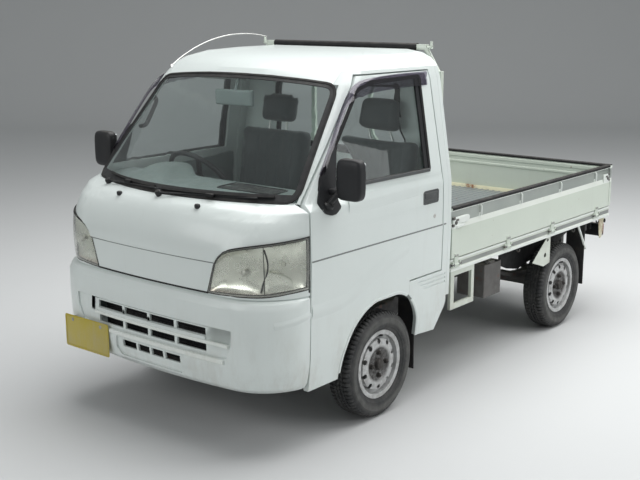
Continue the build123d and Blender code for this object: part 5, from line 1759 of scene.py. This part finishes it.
FLOOR_HALF, FLOOR_WIDTH, WALL_TOP, SWEEP = 14.0, 42.0, 9.0, 3.0
FLOOR_COLOUR = (0.60, 0.61, 0.61)
SKY_COLOUR, SKY_STRENGTH = (0.80, 0.83, 0.84, 1), 0.38
LIGHTS = (
    # name, place, what it is turned to, size, power in watts
    ("overhead", (0.8, 1.3, 5.2), (0.5, 0.9, 0.5), (5.5, 7.0), 430),
    ("left_side", (6.5, 1.2, 3.4), (0, 0.2, 0.8), (3.5, 3.0), 90),
    ("front", (-1.5, -7.0, 3.4), (0, -1.0, 0.9), (4.5, 2.8), 85),
)
CAMERA_AZIMUTH = 39.33
CAMERA_ELEVATION = 12.68
CAMERA_ROLL = -0.04
CAMERA_PLACE = (3.5488, -4.7690, 1.9711)
CAMERA_LENS = 58.95


def stage():
    """A pale floor that sweeps up into the backdrop, turned to face the camera."""
    pale = Finish("studio_floor", FLOOR_COLOUR, 0.9)
    pale.tint(pale.cloud((1.5, 4), 0.4, 0.7, 0.0, 0.05), shaded(FLOOR_COLOUR, 0.9))
    mesh = bmesh.new()
    foot = FLOOR_HALF - SWEEP
    angles = [math.pi / 2 * i / 12 for i in range(1, 13)]
    profile = [(-FLOOR_HALF, 0.0), (foot, 0.0)]
    profile += [(foot + SWEEP * math.sin(a), SWEEP - SWEEP * math.cos(a)) for a in angles]
    profile.append((FLOOR_HALF, WALL_TOP))
    rows = [[mesh.verts.new((x, y, z)) for y, z in profile] for x in (-FLOOR_WIDTH, FLOOR_WIDTH)]
    for i in range(len(profile) - 1):
        mesh.faces.new((rows[0][i], rows[1][i], rows[1][i + 1], rows[0][i + 1]))
    turn = Matrix.Rotation(math.radians(CAMERA_AZIMUTH), 4, "Z")
    bmesh.ops.transform(mesh, matrix=turn, verts=mesh.verts)
    floor = into_scene("studio_floor", kept(mesh, "studio_floor"))
    floor.data.shade_smooth()
    floor.data.materials.append(pale.material)


def light(name, place, target, size, power):
    """A rectangular lamp turned to a point."""
    data = bpy.data.lights.new(name, "AREA")
    data.shape = "RECTANGLE"
    data.size, data.size_y = size
    data.energy = power
    thing = into_scene(name, data)
    thing.location = place
    thing.rotation_mode = "QUATERNION"
    thing.rotation_quaternion = (Vector(place) - Vector(target)).to_track_quat("Z", "Y")


def surroundings():
    """The even light from all sides."""
    world = bpy.data.worlds.new("studio")
    bpy.context.scene.world = world
    world.use_nodes = True
    back = world.node_tree.nodes["Background"]
    back.inputs["Color"].default_value = SKY_COLOUR
    back.inputs["Strength"].default_value = SKY_STRENGTH


def camera():
    """The photo's camera, as fitted."""
    azimuth, elevation = math.radians(CAMERA_AZIMUTH), math.radians(CAMERA_ELEVATION)
    back = Vector((math.sin(azimuth) * math.cos(elevation), -math.cos(azimuth) * math.cos(elevation),
                   math.sin(elevation)))
    data = bpy.data.cameras.new("camera")
    data.lens = CAMERA_LENS
    data.sensor_width = 36
    thing = into_scene("camera", data)
    turn = back.to_track_quat("Z", "Y").to_matrix() @ Matrix.Rotation(math.radians(CAMERA_ROLL), 3, "Z")
    thing.matrix_world = Matrix.Translation(CAMERA_PLACE) @ turn.to_4x4()
    bpy.context.scene.camera = thing


stage()
surroundings()
for row in LIGHTS:
    light(*row)
camera()
bpy.context.scene.view_settings.view_transform = "Standard"
